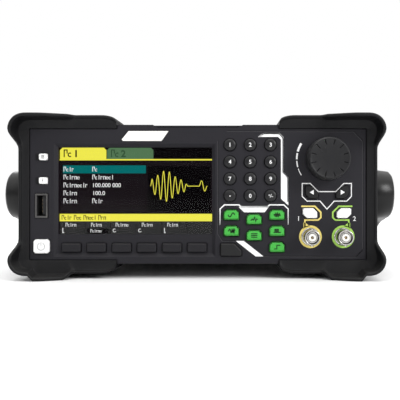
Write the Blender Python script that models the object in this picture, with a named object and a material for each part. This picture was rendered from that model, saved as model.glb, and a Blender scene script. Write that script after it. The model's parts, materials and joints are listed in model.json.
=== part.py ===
# Bench function generator: plastic front frame with keys, screen and knob, two-shell case,
# rubber end boots, swinging carry handle, rear panel with fan and connectors.
# Metres, +Z up, the front faces -Y, feet stand on z = 0.
import math

import bmesh
import bpy
from mathutils import Matrix, Vector

mm = 0.001

# Driving dimensions ---------------------------------------------------------------------------

TOUCH_GAP = 0.3 * mm                 # clearance between pieces that touch

PANEL_HALF_W = 106.5 * mm            # front frame inside the boots
PANEL_HALF_H = 41.4 * mm
PANEL_MID_RISE = 2.7 * mm            # the frame stands taller between the boots
PANEL_THICK = 3.5 * mm
PANEL_WALL = 1.4 * mm                # rim wall behind the panel
RIM_DEPTH = 17.4 * mm                # panel face to the rim flange
FLANGE_DEPTH = 2.6 * mm
NOTCH_BOTTOM_HALF_W = 25.4 * mm      # dip in the frame's top edge
NOTCH_SLOPE_W = 3.2 * mm
NOTCH_DROP = 2.0 * mm

CASE_DEPTH = 257.0 * mm              # panel face to the rear panel's outer face
CASE_SIDE_STEP = 4.0 * mm            # case beyond the frame, each side
CASE_TOP_STEP = 1.5 * mm             # case above the frame's middle
CASE_BOTTOM_STEP = 0.1 * mm
CASE_CORNER_R = 5.0 * mm
CASE_SEAM_Z = 20.0 * mm              # seam between cover and chassis, above the panel centre
COVER_WALL = 1.8 * mm
REAR_PANEL_THICK = 2.0 * mm

BOOT_END_X = 51.5 * mm               # where each boot stops along top and bottom
BOOT_RAMP = 10.0 * mm                # length of the rounded end
BOOT_OVER_CASE = 4.6 * mm            # rubber over the case top
BOOT_SIDE = 3.2 * mm                 # rubber over the case side
BOOT_CORNER_BULGE = 2.6 * mm
BOOT_BULGE_REACH = 18.7 * mm         # from the boot's side to where the corner starts to bulge
BOOT_CORNER_R = 10.0 * mm
BOOT_EDGE_BEVEL = 0.8 * mm
BOOT_EDGE = 1.6 * mm                 # how far the plain edge stands in front of the panel
BOOT_WAIST_SKIRT = 3.6 * mm          # how far the boot covers the case at the sides
BOOT_SKIRT = 12.0 * mm               # the same at the corners
LIP_REACH = 14.0 * mm                # how far the corner lips stand in front of the panel
LIP_THICK = 2.2 * mm
LIP_HOLLOW = 1.2 * mm                # width of the curved foot inside the lip
LIP_START = 36.2 * mm                # along the top, from the boot's side
LIP_END_RAMP = 4.5 * mm              # short ramp where the lip starts
LIP_END_SHARE = 0.45                 # of the full lip, straight after that ramp
LIP_FULL = 13.7 * mm
LIP_TIP_DROP = 21.2 * mm             # down the side, from the boot's top
LIP_FULL_DROP = 10.2 * mm
REAR_LIP_REACH = 12.0 * mm
REAR_BOOT_SKIRT = 22.0 * mm
REAR_BOOT_WAIST_SKIRT = 14.0 * mm
REAR_BOOT_LAP = 3.4 * mm             # thickness of the rear boot over the rear panel
FOOT_DROP = 3.3 * mm
FOOT_OUT = 12.7 * mm                 # foot's outer end, from the boot's side
FOOT_LENGTH = 16.5 * mm
FOOT_SLOPE_IN = 5.5 * mm
FOOT_SLOPE_OUT = 3.2 * mm

SCREEN_X = (-89.1 * mm, 8.9 * mm)    # visible display opening
SCREEN_Z = (-25.5 * mm, 30.0 * mm)
RECESS_MARGIN = 0.2 * mm             # flat floor round the display opening, left, right and top
RECESS_BOTTOM_Z = -37.6 * mm         # shallow pocket that holds screen and soft keys
RECESS_SLOPE = 2.0 * mm              # width of the pocket's sloped sides
RECESS_DEPTH = 1.8 * mm
WINDOW_THICK = 1.4 * mm
WINDOW_LAP = 2.0 * mm
MODULE_THICK = 5.5 * mm
MODULE_LAP = 1.0 * mm

KEY_GAP = 0.35 * mm                  # key to its hole, all round
KEY_RISE = 1.8 * mm                  # key face in front of the panel
KEY_EDGE = 0.5 * mm                  # sloped front edge
KEY_FLANGE = 0.7 * mm                # flange that keeps a key in its hole
KEY_FLANGE_THICK = 1.0 * mm
POWER_KEY_TRAVEL = 1.4 * mm          # the longest travel; the other keys have 1.0 mm
BOARD_THICK = 1.6 * mm
BOARD_CLEAR = 0.6 * mm               # behind a fully pressed key
BOARD_MARGIN = (3.9 * mm, 0.8 * mm)  # key board to the frame's walls

SOFT_KEY_COUNT = 6
SOFT_KEY_SIZE = (12.3 * mm, 5.6 * mm)
SOFT_KEY_FIRST_X = -80.6 * mm
SOFT_KEY_PITCH = 16.0 * mm
SOFT_KEY_Z = -34.0 * mm

NUM_KEY_R = 3.8 * mm
NUM_KEY_SEGMENTS = 20
NUM_KEY_X = (20.3 * mm, 33.1 * mm, 46.0 * mm)
NUM_KEY_Z = (31.3 * mm, 20.5 * mm, 9.8 * mm, -0.95 * mm)
NUM_KEY_NAMES = (
    ("key_1", "key_2", "key_3"),
    ("key_4", "key_5", "key_6"),
    ("key_7", "key_8", "key_9"),
    ("key_point", "key_0", "key_sign"),
)

GREEN_KEY_SIZE = (9.7 * mm, 6.5 * mm)
GREEN_KEY_CHAMFER = 1.8 * mm
GREEN_KEYS = {                       # key centres
    "sine_key": (21.2 * mm, -13.0 * mm),
    "arb_key": (35.6 * mm, -15.8 * mm),
    "mod_key": (50.1 * mm, -13.0 * mm),
    "sweep_key": (21.2 * mm, -23.2 * mm),
    "utility_key": (35.6 * mm, -26.0 * mm),
    "burst_key": (50.1 * mm, -23.2 * mm),
    "trigger_key": (50.1 * mm, -33.4 * mm),
}

BLANK_KEY_SIZE = (13.4 * mm, 7.9 * mm)
BLANK_KEY_POS = (21.0 * mm, -35.1 * mm)
BLANK_KEY_CHAMFER = 4.6 * mm

ARROW_KEY_SIZE = (8.0 * mm, 7.8 * mm)
ARROW_KEY_POS = (9.6 * mm, 1.3 * mm)       # x from the knob's column, mirrored for the other key
ARROW_CHAMFER_IN = 4.2 * mm
ARROW_CHAMFER_OUT = 2.4 * mm
OUTPUT_KEY_SIZE = (9.0 * mm, 6.3 * mm)
OUTPUT_KEY_POS = (10.75 * mm, -11.9 * mm)
OUTPUT_CHAMFER = 2.5 * mm

SMALL_KEY_SIZE = (5.3 * mm, 4.2 * mm)
SMALL_KEYS = {
    "parameter_key": (-97.9 * mm, 23.7 * mm),
    "help_key": (-97.9 * mm, 8.7 * mm),
}
POWER_KEY_SIZE = (10.0 * mm, 8.9 * mm)
POWER_KEY_POS = (-99.0 * mm, -33.0 * mm)
POWER_KEY_CORNER = 1.2 * mm

KNOB_X = 81.7 * mm
KNOB_Z = 22.2 * mm
KNOB_R = 13.6 * mm
KNOB_FACE_INSET = 2.6 * mm
KNOB_HEIGHT = 12.8 * mm
KNOB_CAP = 4.0 * mm                  # solid front over the shaft's bore
KNOB_LIFT = 0.8 * mm                 # knob skirt in front of the panel
SHAFT_R = 3.0 * mm
SHAFT_CLEAR = 0.3 * mm
ENCODER_SIZE = 12.0 * mm
ENCODER_FLOOR = 1.2 * mm

BNC_DX = 10.4 * mm                   # from the knob's column
BNC_Z = -26.9 * mm
BNC_R = 4.85 * mm
BNC_WALL = 0.75 * mm
BNC_HOLE_GAP = 0.8 * mm              # barrel to its hole in a panel
BNC_REACH = 10.5 * mm                # mouth in front of the panel
BNC_BORE_DEPTH = 9.0 * mm
BNC_SEAT = 1.45 * mm                 # hex body beyond the barrel
BNC_SEAT_THICK = 7.6 * mm
BNC_TAIL = 4.6 * mm
BNC_LUG_R = 1.0 * mm
BNC_LUG_REACH = 0.75 * mm            # beyond the barrel
BNC_LUG_BACK = 2.6 * mm              # behind the mouth

USB_SIZE = (8.0 * mm, 15.3 * mm)     # outer rim, upright port
USB_WALL = 1.1 * mm
USB_POS = (-99.2 * mm, -7.2 * mm)
USB_DEPTH = 14.0 * mm
USB_MOUTH_DEPTH = 11.0 * mm
USB_RISE = 0.7 * mm

HUB_Z = 0.0 * mm
HUB_R_IN = 17.6 * mm
HUB_TAPER = 1.4 * mm
HUB_CLEAR = 0.9 * mm                 # behind the boot's side
HUB_SIDE_CLEAR = 3.7 * mm            # beyond the case side
HUB_THICK = 17.8 * mm
HUB_STRAIGHT = 6.0 * mm
HUB_BEVEL = 1.5 * mm
PIVOT_R = 6.0 * mm
PIVOT_CLEAR = 0.4 * mm
PIVOT_REACH = 4.2 * mm               # pin past the case wall's inside
ARM_LENGTH = 115.0 * mm
ARM_CLEAR = 5.4 * mm                 # beyond the boot's corner
ARM_THICK = 9.0 * mm
ARM_WIDTH = 18.0 * mm
ARM_SHOULDER = 26.0 * mm             # where the arm has left the hub
ARM_SHOULDER_SWELL = 1.2 * mm
ARM_BEND = 25.0 * mm                 # from the grip's centre to where the arm turns level
ARM_HEEL = 3.0 * mm
GRIP_THICK = 7.2 * mm
GRIP_WIDTH = 24.0 * mm
GRIP_CLEAR = 0.5 * mm                # below the case
GRIP_CORNER_R = 2.4 * mm

FAN_SIZE = 60.0 * mm
FAN_WALL = 2.5 * mm
FAN_DEPTH = 15.0 * mm
FAN_HUB_R = 12.0 * mm
FAN_TIP_CLEAR = 1.0 * mm
FAN_BLADES = 7
FAN_BLADE_THICK = 0.7 * mm
FAN_X = -62.0 * mm
FAN_Z = 0.0 * mm
FAN_STRUT = (3.0 * mm, 2.4 * mm)     # width and depth
VENT_SLOT = 3.2 * mm
VENT_PITCH = 5.6 * mm
VENT_MARGIN = 2.5 * mm               # inside the fan's bore

INLET_X = 78.0 * mm
INLET_Z = -18.0 * mm
INLET_BODY = (27.0 * mm, 19.8 * mm)
INLET_LAP = 2.1 * mm                 # flange beyond the body
INLET_WALL = 1.5 * mm
INLET_DEPTH = 24.0 * mm
INLET_MOUTH_DEPTH = 17.0 * mm
INLET_FLANGE_THICK = 2.6 * mm
INLET_CHAMFER = 4.5 * mm

REAR_BNC_X = 10.0 * mm
REAR_BNC_Z = 12.0 * mm
USB_B_POS = (12.0 * mm, -20.0 * mm)
USB_B_SIZE = (12.2 * mm, 11.2 * mm)
USB_B_WALL = 1.7 * mm
USB_B_RISE = 0.4 * mm
USB_B_DEPTH = 16.0 * mm
USB_B_MOUTH_DEPTH = 9.0 * mm

MAIN_BOARD_SIZE = (150.0 * mm, 170.0 * mm)
MAIN_BOARD_X = -25.0 * mm
MAIN_BOARD_FRONT = 32.0 * mm
MAIN_BOARD_LIFT = 8.4 * mm           # above the chassis floor
BOARD_BLOCKS = (                     # name, corner on the board, size, height
    ("shield", (90 * mm, 15 * mm), (48 * mm, 45 * mm), 12 * mm),
    ("heat_sink", (30 * mm, 80 * mm), (35 * mm, 35 * mm), 16 * mm),
)
SUPPLY_SIZE = (44.0 * mm, 110.0 * mm, 32.0 * mm)
SUPPLY_X = 78.0 * mm
SUPPLY_FRONT = 90.0 * mm

ROUND_SEGMENTS = 32
CUT_PAST = 1.0 * mm                  # how far a cutter runs past the faces it opens

# Worked-out places: x and z from the panel's centre, depth back from the panel's face ----------

PANEL_MID_HALF_H = PANEL_HALF_H + PANEL_MID_RISE
FLANGE_BACK = RIM_DEPTH + FLANGE_DEPTH
CASE_HALF_W = PANEL_HALF_W + CASE_SIDE_STEP
CASE_TOP = PANEL_MID_HALF_H + CASE_TOP_STEP
CASE_BOTTOM = -PANEL_MID_HALF_H - CASE_BOTTOM_STEP
CASE_FRONT = FLANGE_BACK + TOUCH_GAP
CASE_BACK = CASE_DEPTH - REAR_PANEL_THICK - TOUCH_GAP
BOOT_TOP = CASE_TOP + BOOT_OVER_CASE
BOOT_HALF_W = CASE_HALF_W + BOOT_SIDE
FLOOR_TO_CENTRE = BOOT_TOP + FOOT_DROP
OVERALL_DEPTH = LIP_REACH + CASE_DEPTH + REAR_LIP_REACH
PANEL_Y = LIP_REACH - OVERALL_DEPTH / 2
KEY_FLANGE_FRONT = PANEL_THICK + TOUCH_GAP
BOARD_FRONT = KEY_FLANGE_FRONT + KEY_FLANGE_THICK + POWER_KEY_TRAVEL + BOARD_CLEAR
WINDOW_FRONT = PANEL_THICK + TOUCH_GAP
MODULE_FRONT = WINDOW_FRONT + WINDOW_THICK + TOUCH_GAP
BNC_BORE_R = BNC_R - BNC_WALL
HUB_DEPTH = FLANGE_BACK + BOOT_WAIST_SKIRT + HUB_R_IN + HUB_CLEAR
HUB_X_IN = CASE_HALF_W + HUB_SIDE_CLEAR
HUB_X_OUT = HUB_X_IN + HUB_THICK
ARM_X_IN = BOOT_HALF_W + BOOT_CORNER_BULGE + ARM_CLEAR
GRIP_DROP = HUB_Z - CASE_BOTTOM + GRIP_CLEAR + GRIP_THICK / 2
ARM_SLOPE = math.asin(GRIP_DROP / ARM_LENGTH)
FAN_BORE_R = FAN_SIZE / 2 - FAN_WALL
FAN_BLADE_R = FAN_BORE_R - FAN_TIP_CLEAR
VENT_R = FAN_BORE_R - VENT_MARGIN
MAIN_BOARD_Z = CASE_BOTTOM + COVER_WALL + MAIN_BOARD_LIFT


# Mesh helpers ---------------------------------------------------------------------------------

def clear_scene():
    for obj in list(bpy.data.objects):
        bpy.data.objects.remove(obj, do_unlink=True)


def make_material(name, color, roughness, metallic=0.0):
    mat = bpy.data.materials.new(name)
    mat.use_nodes = True
    shader = mat.node_tree.nodes["Principled BSDF"]
    shader.inputs["Base Color"].default_value = (*color, 1.0)
    shader.inputs["Roughness"].default_value = roughness
    shader.inputs["Metallic"].default_value = metallic
    mat.diffuse_color = (*color, 1.0)
    return mat


def make_object(name, bm, material, location, parent, smooth=False):
    bmesh.ops.recalc_face_normals(bm, faces=bm.faces)
    mesh = bpy.data.meshes.new(name)
    bm.to_mesh(mesh)
    bm.free()
    mesh.materials.append(material)
    if smooth:
        mesh.shade_smooth()
        mesh.set_sharp_from_angle(angle=math.radians(35))
    obj = bpy.data.objects.new(name, mesh)
    bpy.context.scene.collection.objects.link(obj)
    obj.location = location
    obj.parent = parent
    return obj


def join(parts):
    joined = bmesh.new()
    for part in parts:
        mesh = bpy.data.meshes.new("scratch")
        bmesh.ops.recalc_face_normals(part, faces=part.faces)
        part.to_mesh(mesh)
        part.free()
        joined.from_mesh(mesh)
        bpy.data.meshes.remove(mesh)
    return joined


def add_tool(obj, bm, operation, solver_tag):
    bmesh.ops.recalc_face_normals(bm, faces=bm.faces)
    mesh = bpy.data.meshes.new(obj.name + solver_tag)
    bm.to_mesh(mesh)
    bm.free()
    tool = bpy.data.objects.new(obj.name + solver_tag, mesh)
    bpy.context.scene.collection.objects.link(tool)
    tool.location = obj.location
    tool.rotation_euler = obj.rotation_euler
    tool.parent = obj.parent
    tool.hide_render = True
    tool.display_type = "WIRE"
    modifier = obj.modifiers.new(solver_tag, "BOOLEAN")
    modifier.operation = operation
    modifier.object = tool
    return modifier


def cut(obj, parts):
    add_tool(obj, join(parts), "DIFFERENCE", "_cut")


def fuse(obj, part, tag):
    add_tool(obj, part, "UNION", "_add_" + tag)


def loft(rings, closed=False):
    """Skin between rings of points; the ends are capped unless the rings form a loop."""
    bm = bmesh.new()
    made = [[bm.verts.new(point) for point in ring] for ring in rings]
    pairs = list(zip(made, made[1:]))
    if closed:
        pairs.append((made[-1], made[0]))
    for ring_a, ring_b in pairs:
        count = len(ring_a)
        for i in range(count):
            j = (i + 1) % count
            bm.faces.new((ring_a[i], ring_a[j], ring_b[j], ring_b[i]))
    if not closed:
        bm.faces.new(made[0])
        bm.faces.new(list(reversed(made[-1])))
    return bm


def prism(outline, depth_a, depth_b):
    """Panel outline of (x, z) points, carried from one depth to another along Y."""
    return loft([[(x, depth, z) for x, z in outline] for depth in (depth_a, depth_b)])


def side_prism(outline, x_a, x_b):
    """Side outline of (depth, z) points, carried from one x to another."""
    return loft([[(x, depth, z) for depth, z in outline] for x in (x_a, x_b)])


def box(x_range, y_range, z_range):
    outline = [(x_range[0], z_range[0]), (x_range[1], z_range[0]),
               (x_range[1], z_range[1]), (x_range[0], z_range[1])]
    return prism(outline, *y_range)


def rectangle(half_w, half_h, centre=(0.0, 0.0)):
    cx, cz = centre
    return [(cx - half_w, cz - half_h), (cx + half_w, cz - half_h),
            (cx + half_w, cz + half_h), (cx - half_w, cz + half_h)]


def offset(outline, distance):
    """Move every edge of an anticlockwise outline outward by a distance."""
    count = len(outline)
    moved = []
    for i in range(count):
        before = Vector(outline[i]) - Vector(outline[i - 1])
        after = Vector(outline[(i + 1) % count]) - Vector(outline[i])
        normal_a = Vector((before.y, -before.x)).normalized()
        normal_b = Vector((after.y, -after.x)).normalized()
        bisector = (normal_a + normal_b).normalized()
        reach = distance / max(bisector.dot(normal_a), 0.2)
        moved.append((outline[i][0] + bisector.x * reach, outline[i][1] + bisector.y * reach))
    return moved


def rounded(outline, radii, steps=4):
    """Replace each corner of an anticlockwise outline by an arc; a radius of 0 keeps it."""
    count = len(outline)
    points = []
    for i, radius in zip(range(count), radii):
        corner = Vector(outline[i])
        if radius <= 0:
            points.append(tuple(corner))
            continue
        to_before = (Vector(outline[i - 1]) - corner).normalized()
        to_after = (Vector(outline[(i + 1) % count]) - corner).normalized()
        half_angle = to_before.angle(to_after) / 2
        centre = corner + (to_before + to_after).normalized() * (radius / math.sin(half_angle))
        start = corner + to_before * (radius / math.tan(half_angle)) - centre
        end = corner + to_after * (radius / math.tan(half_angle)) - centre
        turn = start.angle_signed(end)
        for step in range(steps + 1):
            spun = Matrix.Rotation(-turn * step / steps, 2) @ start
            points.append(tuple(centre + spun))
    return points


def chamfered(size, top_left=0.0, top_right=0.0, bottom_right=0.0, bottom_left=0.0, small=0.5 * mm):
    """Anticlockwise rectangle about the origin with a cut on each corner."""
    half_w, half_h = size[0] / 2, size[1] / 2
    cuts = [(-half_w, -half_h, 1, 1, bottom_left), (half_w, -half_h, -1, 1, bottom_right),
            (half_w, half_h, -1, -1, top_right), (-half_w, half_h, 1, -1, top_left)]
    points = []
    for x, z, toward_x, toward_z, size_of_cut in cuts:
        size_of_cut = max(size_of_cut, small)
        along_x = (x + toward_x * size_of_cut, z)
        along_z = (x, z + toward_z * size_of_cut)
        points += [along_z, along_x] if toward_x * toward_z > 0 else [along_x, along_z]
    return points


def circle(radius, segments=ROUND_SEGMENTS, centre=(0.0, 0.0)):
    return [(centre[0] + radius * math.cos(math.tau * i / segments),
             centre[1] + radius * math.sin(math.tau * i / segments)) for i in range(segments)]


def turned(profile, segments=ROUND_SEGMENTS, closed=False):
    """Turn (radius, depth) points about the Y axis; radius 0 at an end closes it."""
    bm = bmesh.new()
    rings = []
    for radius, depth in profile:
        if radius == 0:
            rings.append([bm.verts.new((0, depth, 0))])
        else:
            rings.append([bm.verts.new((x, depth, z)) for x, z in circle(radius, segments)])
    pairs = list(zip(rings, rings[1:]))
    if closed:
        pairs.append((rings[-1], rings[0]))
    for ring_a, ring_b in pairs:
        for i in range(segments):
            j = (i + 1) % segments
            corners = [ring_a[i % len(ring_a)], ring_a[j % len(ring_a)],
                       ring_b[j % len(ring_b)], ring_b[i % len(ring_b)]]
            unique = list(dict.fromkeys(corners))
            bm.faces.new(unique)
    return bm


def shifted(bm, x=0.0, depth=0.0, z=0.0):
    bmesh.ops.translate(bm, verts=bm.verts, vec=(x, depth, z))
    return bm


# Keys -----------------------------------------------------------------------------------------

def key_layout():
    """Every key: name -> (outline about its centre, centre, depth of the face it stands in)."""
    keys = {}
    soft = chamfered(SOFT_KEY_SIZE)
    for i in range(SOFT_KEY_COUNT):
        centre = (SOFT_KEY_FIRST_X + i * SOFT_KEY_PITCH, SOFT_KEY_Z)
        keys[f"soft_key_{i + 1}"] = (soft, centre, RECESS_DEPTH, "dark")
    for z, row in zip(NUM_KEY_Z, NUM_KEY_NAMES):
        for x, name in zip(NUM_KEY_X, row):
            keys[name] = (circle(NUM_KEY_R, NUM_KEY_SEGMENTS), (x, z), 0.0, "dark")
    green = chamfered(GREEN_KEY_SIZE, GREEN_KEY_CHAMFER, GREEN_KEY_CHAMFER)
    for name, centre in GREEN_KEYS.items():
        keys[name] = (green, centre, 0.0, "green")
    blank = chamfered(BLANK_KEY_SIZE, top_right=BLANK_KEY_CHAMFER)
    keys["shift_key"] = (blank, BLANK_KEY_POS, 0.0, "dark")
    arrow = chamfered(ARROW_KEY_SIZE, top_right=ARROW_CHAMFER_IN, bottom_left=ARROW_CHAMFER_OUT)
    output = chamfered(OUTPUT_KEY_SIZE, top_right=OUTPUT_CHAMFER, bottom_left=OUTPUT_CHAMFER)
    for outline, place, left_name, right_name, tone in (
        (arrow, ARROW_KEY_POS, "left_arrow_key", "right_arrow_key", "dark"),
        (output, OUTPUT_KEY_POS, "output_1_key", "output_2_key", "white"),
    ):
        mirrored = [(-x, z) for x, z in reversed(outline)]
        keys[left_name] = (outline, (KNOB_X - place[0], place[1]), 0.0, tone)
        keys[right_name] = (mirrored, (KNOB_X + place[0], place[1]), 0.0, tone)
    for name, centre in SMALL_KEYS.items():
        keys[name] = (chamfered(SMALL_KEY_SIZE), centre, 0.0, "white")
    keys["power_key"] = (chamfered(POWER_KEY_SIZE, small=POWER_KEY_CORNER), POWER_KEY_POS, 0.0, "white")
    return keys


def make_key(name, outline, centre, face_depth, material, parent):
    """Cap with a rounded front edge and a flange that sits behind the panel."""
    front = face_depth - KEY_RISE
    wide = offset(outline, KEY_FLANGE)
    rings = [
        [(x, KEY_FLANGE_FRONT + KEY_FLANGE_THICK, z) for x, z in wide],
        [(x, KEY_FLANGE_FRONT, z) for x, z in wide],
        [(x, KEY_FLANGE_FRONT, z) for x, z in outline],
        [(x, front + KEY_EDGE, z) for x, z in outline],
        [(x, front, z) for x, z in offset(outline, -KEY_EDGE)],
    ]
    return make_object(name, loft(rings), material, (centre[0], 0, centre[1]), parent)


# Case and front frame -------------------------------------------------------------------------

def case_outline(inset=0.0, low=CASE_BOTTOM, high=CASE_TOP):
    half_w = CASE_HALF_W - inset
    corners = [(-half_w, low + inset), (half_w, low + inset),
               (half_w, high - inset), (-half_w, high - inset)]
    return rounded(corners, [max(CASE_CORNER_R - inset, 0.5 * mm)] * 4)


def frame_outline(inset=0.0):
    """Front frame: stepped up between the boots, with a dip in its top edge."""
    end_x = BOOT_END_X - TOUCH_GAP
    right_side = [
        (end_x, -PANEL_MID_HALF_H), (end_x, -PANEL_HALF_H), (PANEL_HALF_W, -PANEL_HALF_H),
        (PANEL_HALF_W, PANEL_HALF_H), (end_x, PANEL_HALF_H), (end_x, PANEL_MID_HALF_H),
        (NOTCH_BOTTOM_HALF_W + NOTCH_SLOPE_W, PANEL_MID_HALF_H),
        (NOTCH_BOTTOM_HALF_W, PANEL_MID_HALF_H - NOTCH_DROP),
    ]
    outline = right_side + [(-x, z) for x, z in reversed(right_side)]
    return offset(outline, -inset) if inset else outline


def make_front_frame(keys, material, parent):
    frame = make_object("front_bezel", prism(frame_outline(), 0, RIM_DEPTH + TOUCH_GAP),
                        material, (0, 0, 0), parent)
    fuse(frame, prism(case_outline(), RIM_DEPTH, FLANGE_BACK), "flange")
    pocket_half_w = PANEL_HALF_W - PANEL_WALL
    pocket_half_h = PANEL_HALF_H - PANEL_WALL
    through = (-CUT_PAST, PANEL_THICK + CUT_PAST)
    add_tool(frame, prism(rectangle(pocket_half_w, pocket_half_h), PANEL_THICK, FLANGE_BACK + CUT_PAST),
             "DIFFERENCE", "_pocket")
    holes = []
    for outline, centre, _face, _tone in keys.values():
        hole = [(x + centre[0], z + centre[1]) for x, z in offset(outline, KEY_GAP)]
        holes.append(prism(hole, *through))
    holes.append(prism(circle(SHAFT_R + 2 * SHAFT_CLEAR, 24, (KNOB_X, KNOB_Z)), *through))
    for side in (-1, 1):
        bnc_centre = (KNOB_X + side * BNC_DX, BNC_Z)
        holes.append(prism(circle(BNC_R + BNC_HOLE_GAP, 24, bnc_centre), *through))
    usb_hole = rectangle(USB_SIZE[0] / 2 + TOUCH_GAP, USB_SIZE[1] / 2 + TOUCH_GAP, USB_POS)
    holes.append(prism(usb_hole, *through))
    holes.append(box(SCREEN_X, through, SCREEN_Z))
    floor_outline = [
        (SCREEN_X[0] - RECESS_MARGIN, RECESS_BOTTOM_Z), (SCREEN_X[1] + RECESS_MARGIN, RECESS_BOTTOM_Z),
        (SCREEN_X[1] + RECESS_MARGIN, SCREEN_Z[1] + RECESS_MARGIN),
        (SCREEN_X[0] - RECESS_MARGIN, SCREEN_Z[1] + RECESS_MARGIN)]
    widen = RECESS_SLOPE / RECESS_DEPTH
    recess = loft([[(x, depth, z) for x, z in offset(floor_outline, (RECESS_DEPTH - depth) * widen)]
                   for depth in (-CUT_PAST, RECESS_DEPTH)])
    add_tool(frame, recess, "DIFFERENCE", "_recess")
    cut(frame, holes)
    return frame


def make_case_shell(name, is_cover, material, parent):
    """U-shaped shell: the cover is the upper part of the case outline, the chassis the rest."""
    shell = make_object(name, prism(case_outline(), CASE_FRONT, CASE_BACK),
                        material, (0, 0, 0), parent)
    inner = prism(case_outline(COVER_WALL), CASE_FRONT - CUT_PAST, CASE_BACK + CUT_PAST)
    reach = CASE_HALF_W + 2 * CUT_PAST
    if is_cover:
        away = (CASE_BOTTOM - CUT_PAST, CASE_SEAM_Z + TOUCH_GAP / 2)
    else:
        away = (CASE_SEAM_Z - TOUCH_GAP / 2, CASE_TOP + CUT_PAST)
    away_depth = (CASE_FRONT - 2 * CUT_PAST, CASE_BACK + 2 * CUT_PAST)
    add_tool(shell, box((-reach, reach), away_depth, away), "DIFFERENCE", "_part")
    add_tool(shell, inner, "DIFFERENCE", "_hollow")
    if not is_cover:
        pivot = [(HUB_DEPTH + y, HUB_Z + z) for y, z in circle(PIVOT_R + PIVOT_CLEAR, 24)]
        inside = CASE_HALF_W - 2 * COVER_WALL
        add_tool(shell, join([side_prism(pivot, -reach, -inside), side_prism(pivot, inside, reach)]),
                 "DIFFERENCE", "_pivots")


# Boots ----------------------------------------------------------------------------------------

def smooth_step(value):
    value = min(max(value, 0.0), 1.0)
    return value * value * (3 - 2 * value)


def boot_stations():
    """Walk round a boot from its top end to its bottom end: (kind, share of that stretch)."""
    stations = []
    for kind, count in (("top", 14), ("upper_corner", 7), ("side", 14), ("lower_corner", 7), ("bottom", 15)):
        first = 0 if kind == "top" else 1
        stations += [(kind, i / count) for i in range(first, count + 1)]
    return stations


def path_point(kind, share, half_w, top, bottom, radius):
    """Point on a rounded rectangle's right half at a station, and its outward direction."""
    if kind == "top":
        x = BOOT_END_X + share * (half_w - radius - BOOT_END_X)
        return Vector((x, top)), Vector((0, 1))
    if kind == "bottom":
        x = half_w - radius - share * (half_w - radius - BOOT_END_X)
        return Vector((x, bottom)), Vector((0, -1))
    if kind == "side":
        z = top - radius - share * (top - bottom - 2 * radius)
        return Vector((half_w, z)), Vector((1, 0))
    start, centre_z = (90, top - radius) if kind == "upper_corner" else (0, bottom + radius)
    angle = math.radians(start - 90 * share)
    out = Vector((math.cos(angle), math.sin(angle)))
    return Vector((half_w - radius, centre_z)) + out * radius, out


def boot_body(lip, skirt, waist_skirt, edge, inner_half_w, inner_half_h, step_depth):
    """Section swept round one side; depth 0 is the end face and grows towards the case's middle."""
    rings = []
    lip_start_x = BOOT_HALF_W - LIP_START
    lip_tip_z = BOOT_TOP - LIP_TIP_DROP
    foot_out_x = BOOT_HALF_W - FOOT_OUT
    foot_in_x = foot_out_x - FOOT_LENGTH
    for kind, share in boot_stations():
        outer, out = path_point(kind, share, BOOT_HALF_W, BOOT_TOP, -BOOT_TOP, BOOT_CORNER_R)
        inner, _ = path_point(kind, share, inner_half_w, inner_half_h, -inner_half_h, 2 * TOUCH_GAP)
        case, _ = path_point(kind, share, CASE_HALF_W + TOUCH_GAP, CASE_TOP + TOUCH_GAP,
                             CASE_BOTTOM - TOUCH_GAP, CASE_CORNER_R)
        corner_share = smooth_step((abs(outer.y) - lip_tip_z) / (LIP_TIP_DROP - LIP_FULL_DROP))
        bulge_share = smooth_step((outer.x - BOOT_HALF_W + BOOT_BULGE_REACH) / (0.8 * BOOT_BULGE_REACH))
        outer.x += BOOT_CORNER_BULGE * corner_share * bulge_share
        if kind in ("side", "upper_corner", "lower_corner"):
            lip_share = corner_share
        else:
            from_start = outer.x - lip_start_x
            growth = LIP_END_SHARE + (1 - LIP_END_SHARE) * smooth_step(from_start / (LIP_START - LIP_FULL))
            lip_share = growth * smooth_step(from_start / LIP_END_RAMP)
        ramp = (outer.x - BOOT_END_X) / BOOT_RAMP
        if kind in ("top", "bottom") and ramp < 1:
            swell = math.sqrt(max(1 - (1 - ramp) ** 2, 0.0))
            low = abs(case.y) + 2 * TOUCH_GAP
            outer.y = math.copysign(low + (abs(outer.y) - low) * swell, outer.y)
        if kind == "bottom":
            into_foot = (outer.x - foot_in_x + FOOT_SLOPE_IN) / FOOT_SLOPE_IN
            out_of_foot = (foot_out_x + FOOT_SLOPE_OUT - outer.x) / FOOT_SLOPE_OUT
            outer.y -= FOOT_DROP * min(smooth_step(into_foot), smooth_step(out_of_foot))
        tip = -edge - (lip - edge) * lip_share
        thick = min(LIP_THICK, (outer - inner).length * 0.6)
        lip_inner = outer - out * thick
        hollow = outer - out * (thick + LIP_HOLLOW)
        if (hollow - inner).dot(out) < TOUCH_GAP:
            hollow = inner + (lip_inner - inner) * 0.5
        past_hub = (abs(outer.y) - HUB_R_IN) / (lip_tip_z - HUB_R_IN) - 0.6
        skirt_here = waist_skirt + (skirt - waist_skirt) * smooth_step(past_hub / 0.6)
        chamfer = BOOT_EDGE_BEVEL
        section = [
            (inner, -edge * 0.4),
            (hollow, -edge - (lip - edge) * lip_share * 0.18),
            (lip_inner, tip * 0.88 - edge * 0.12),
            (outer - out * (thick * 0.5), tip),
            (outer - out * (chamfer / 3), tip + chamfer),
            (outer, tip + 3 * chamfer),
            (outer, skirt_here - chamfer),
            (outer - out * chamfer, skirt_here),
            (case, skirt_here),
            (case, step_depth),
            (inner, step_depth),
        ]
        rings.append([(point.x, depth, point.y) for point, depth in section])
    return loft(rings)


def mirrored(bm):
    bmesh.ops.scale(bm, verts=bm.verts, vec=(-1, 1, 1))
    bmesh.ops.reverse_faces(bm, faces=bm.faces)
    return bm


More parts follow.
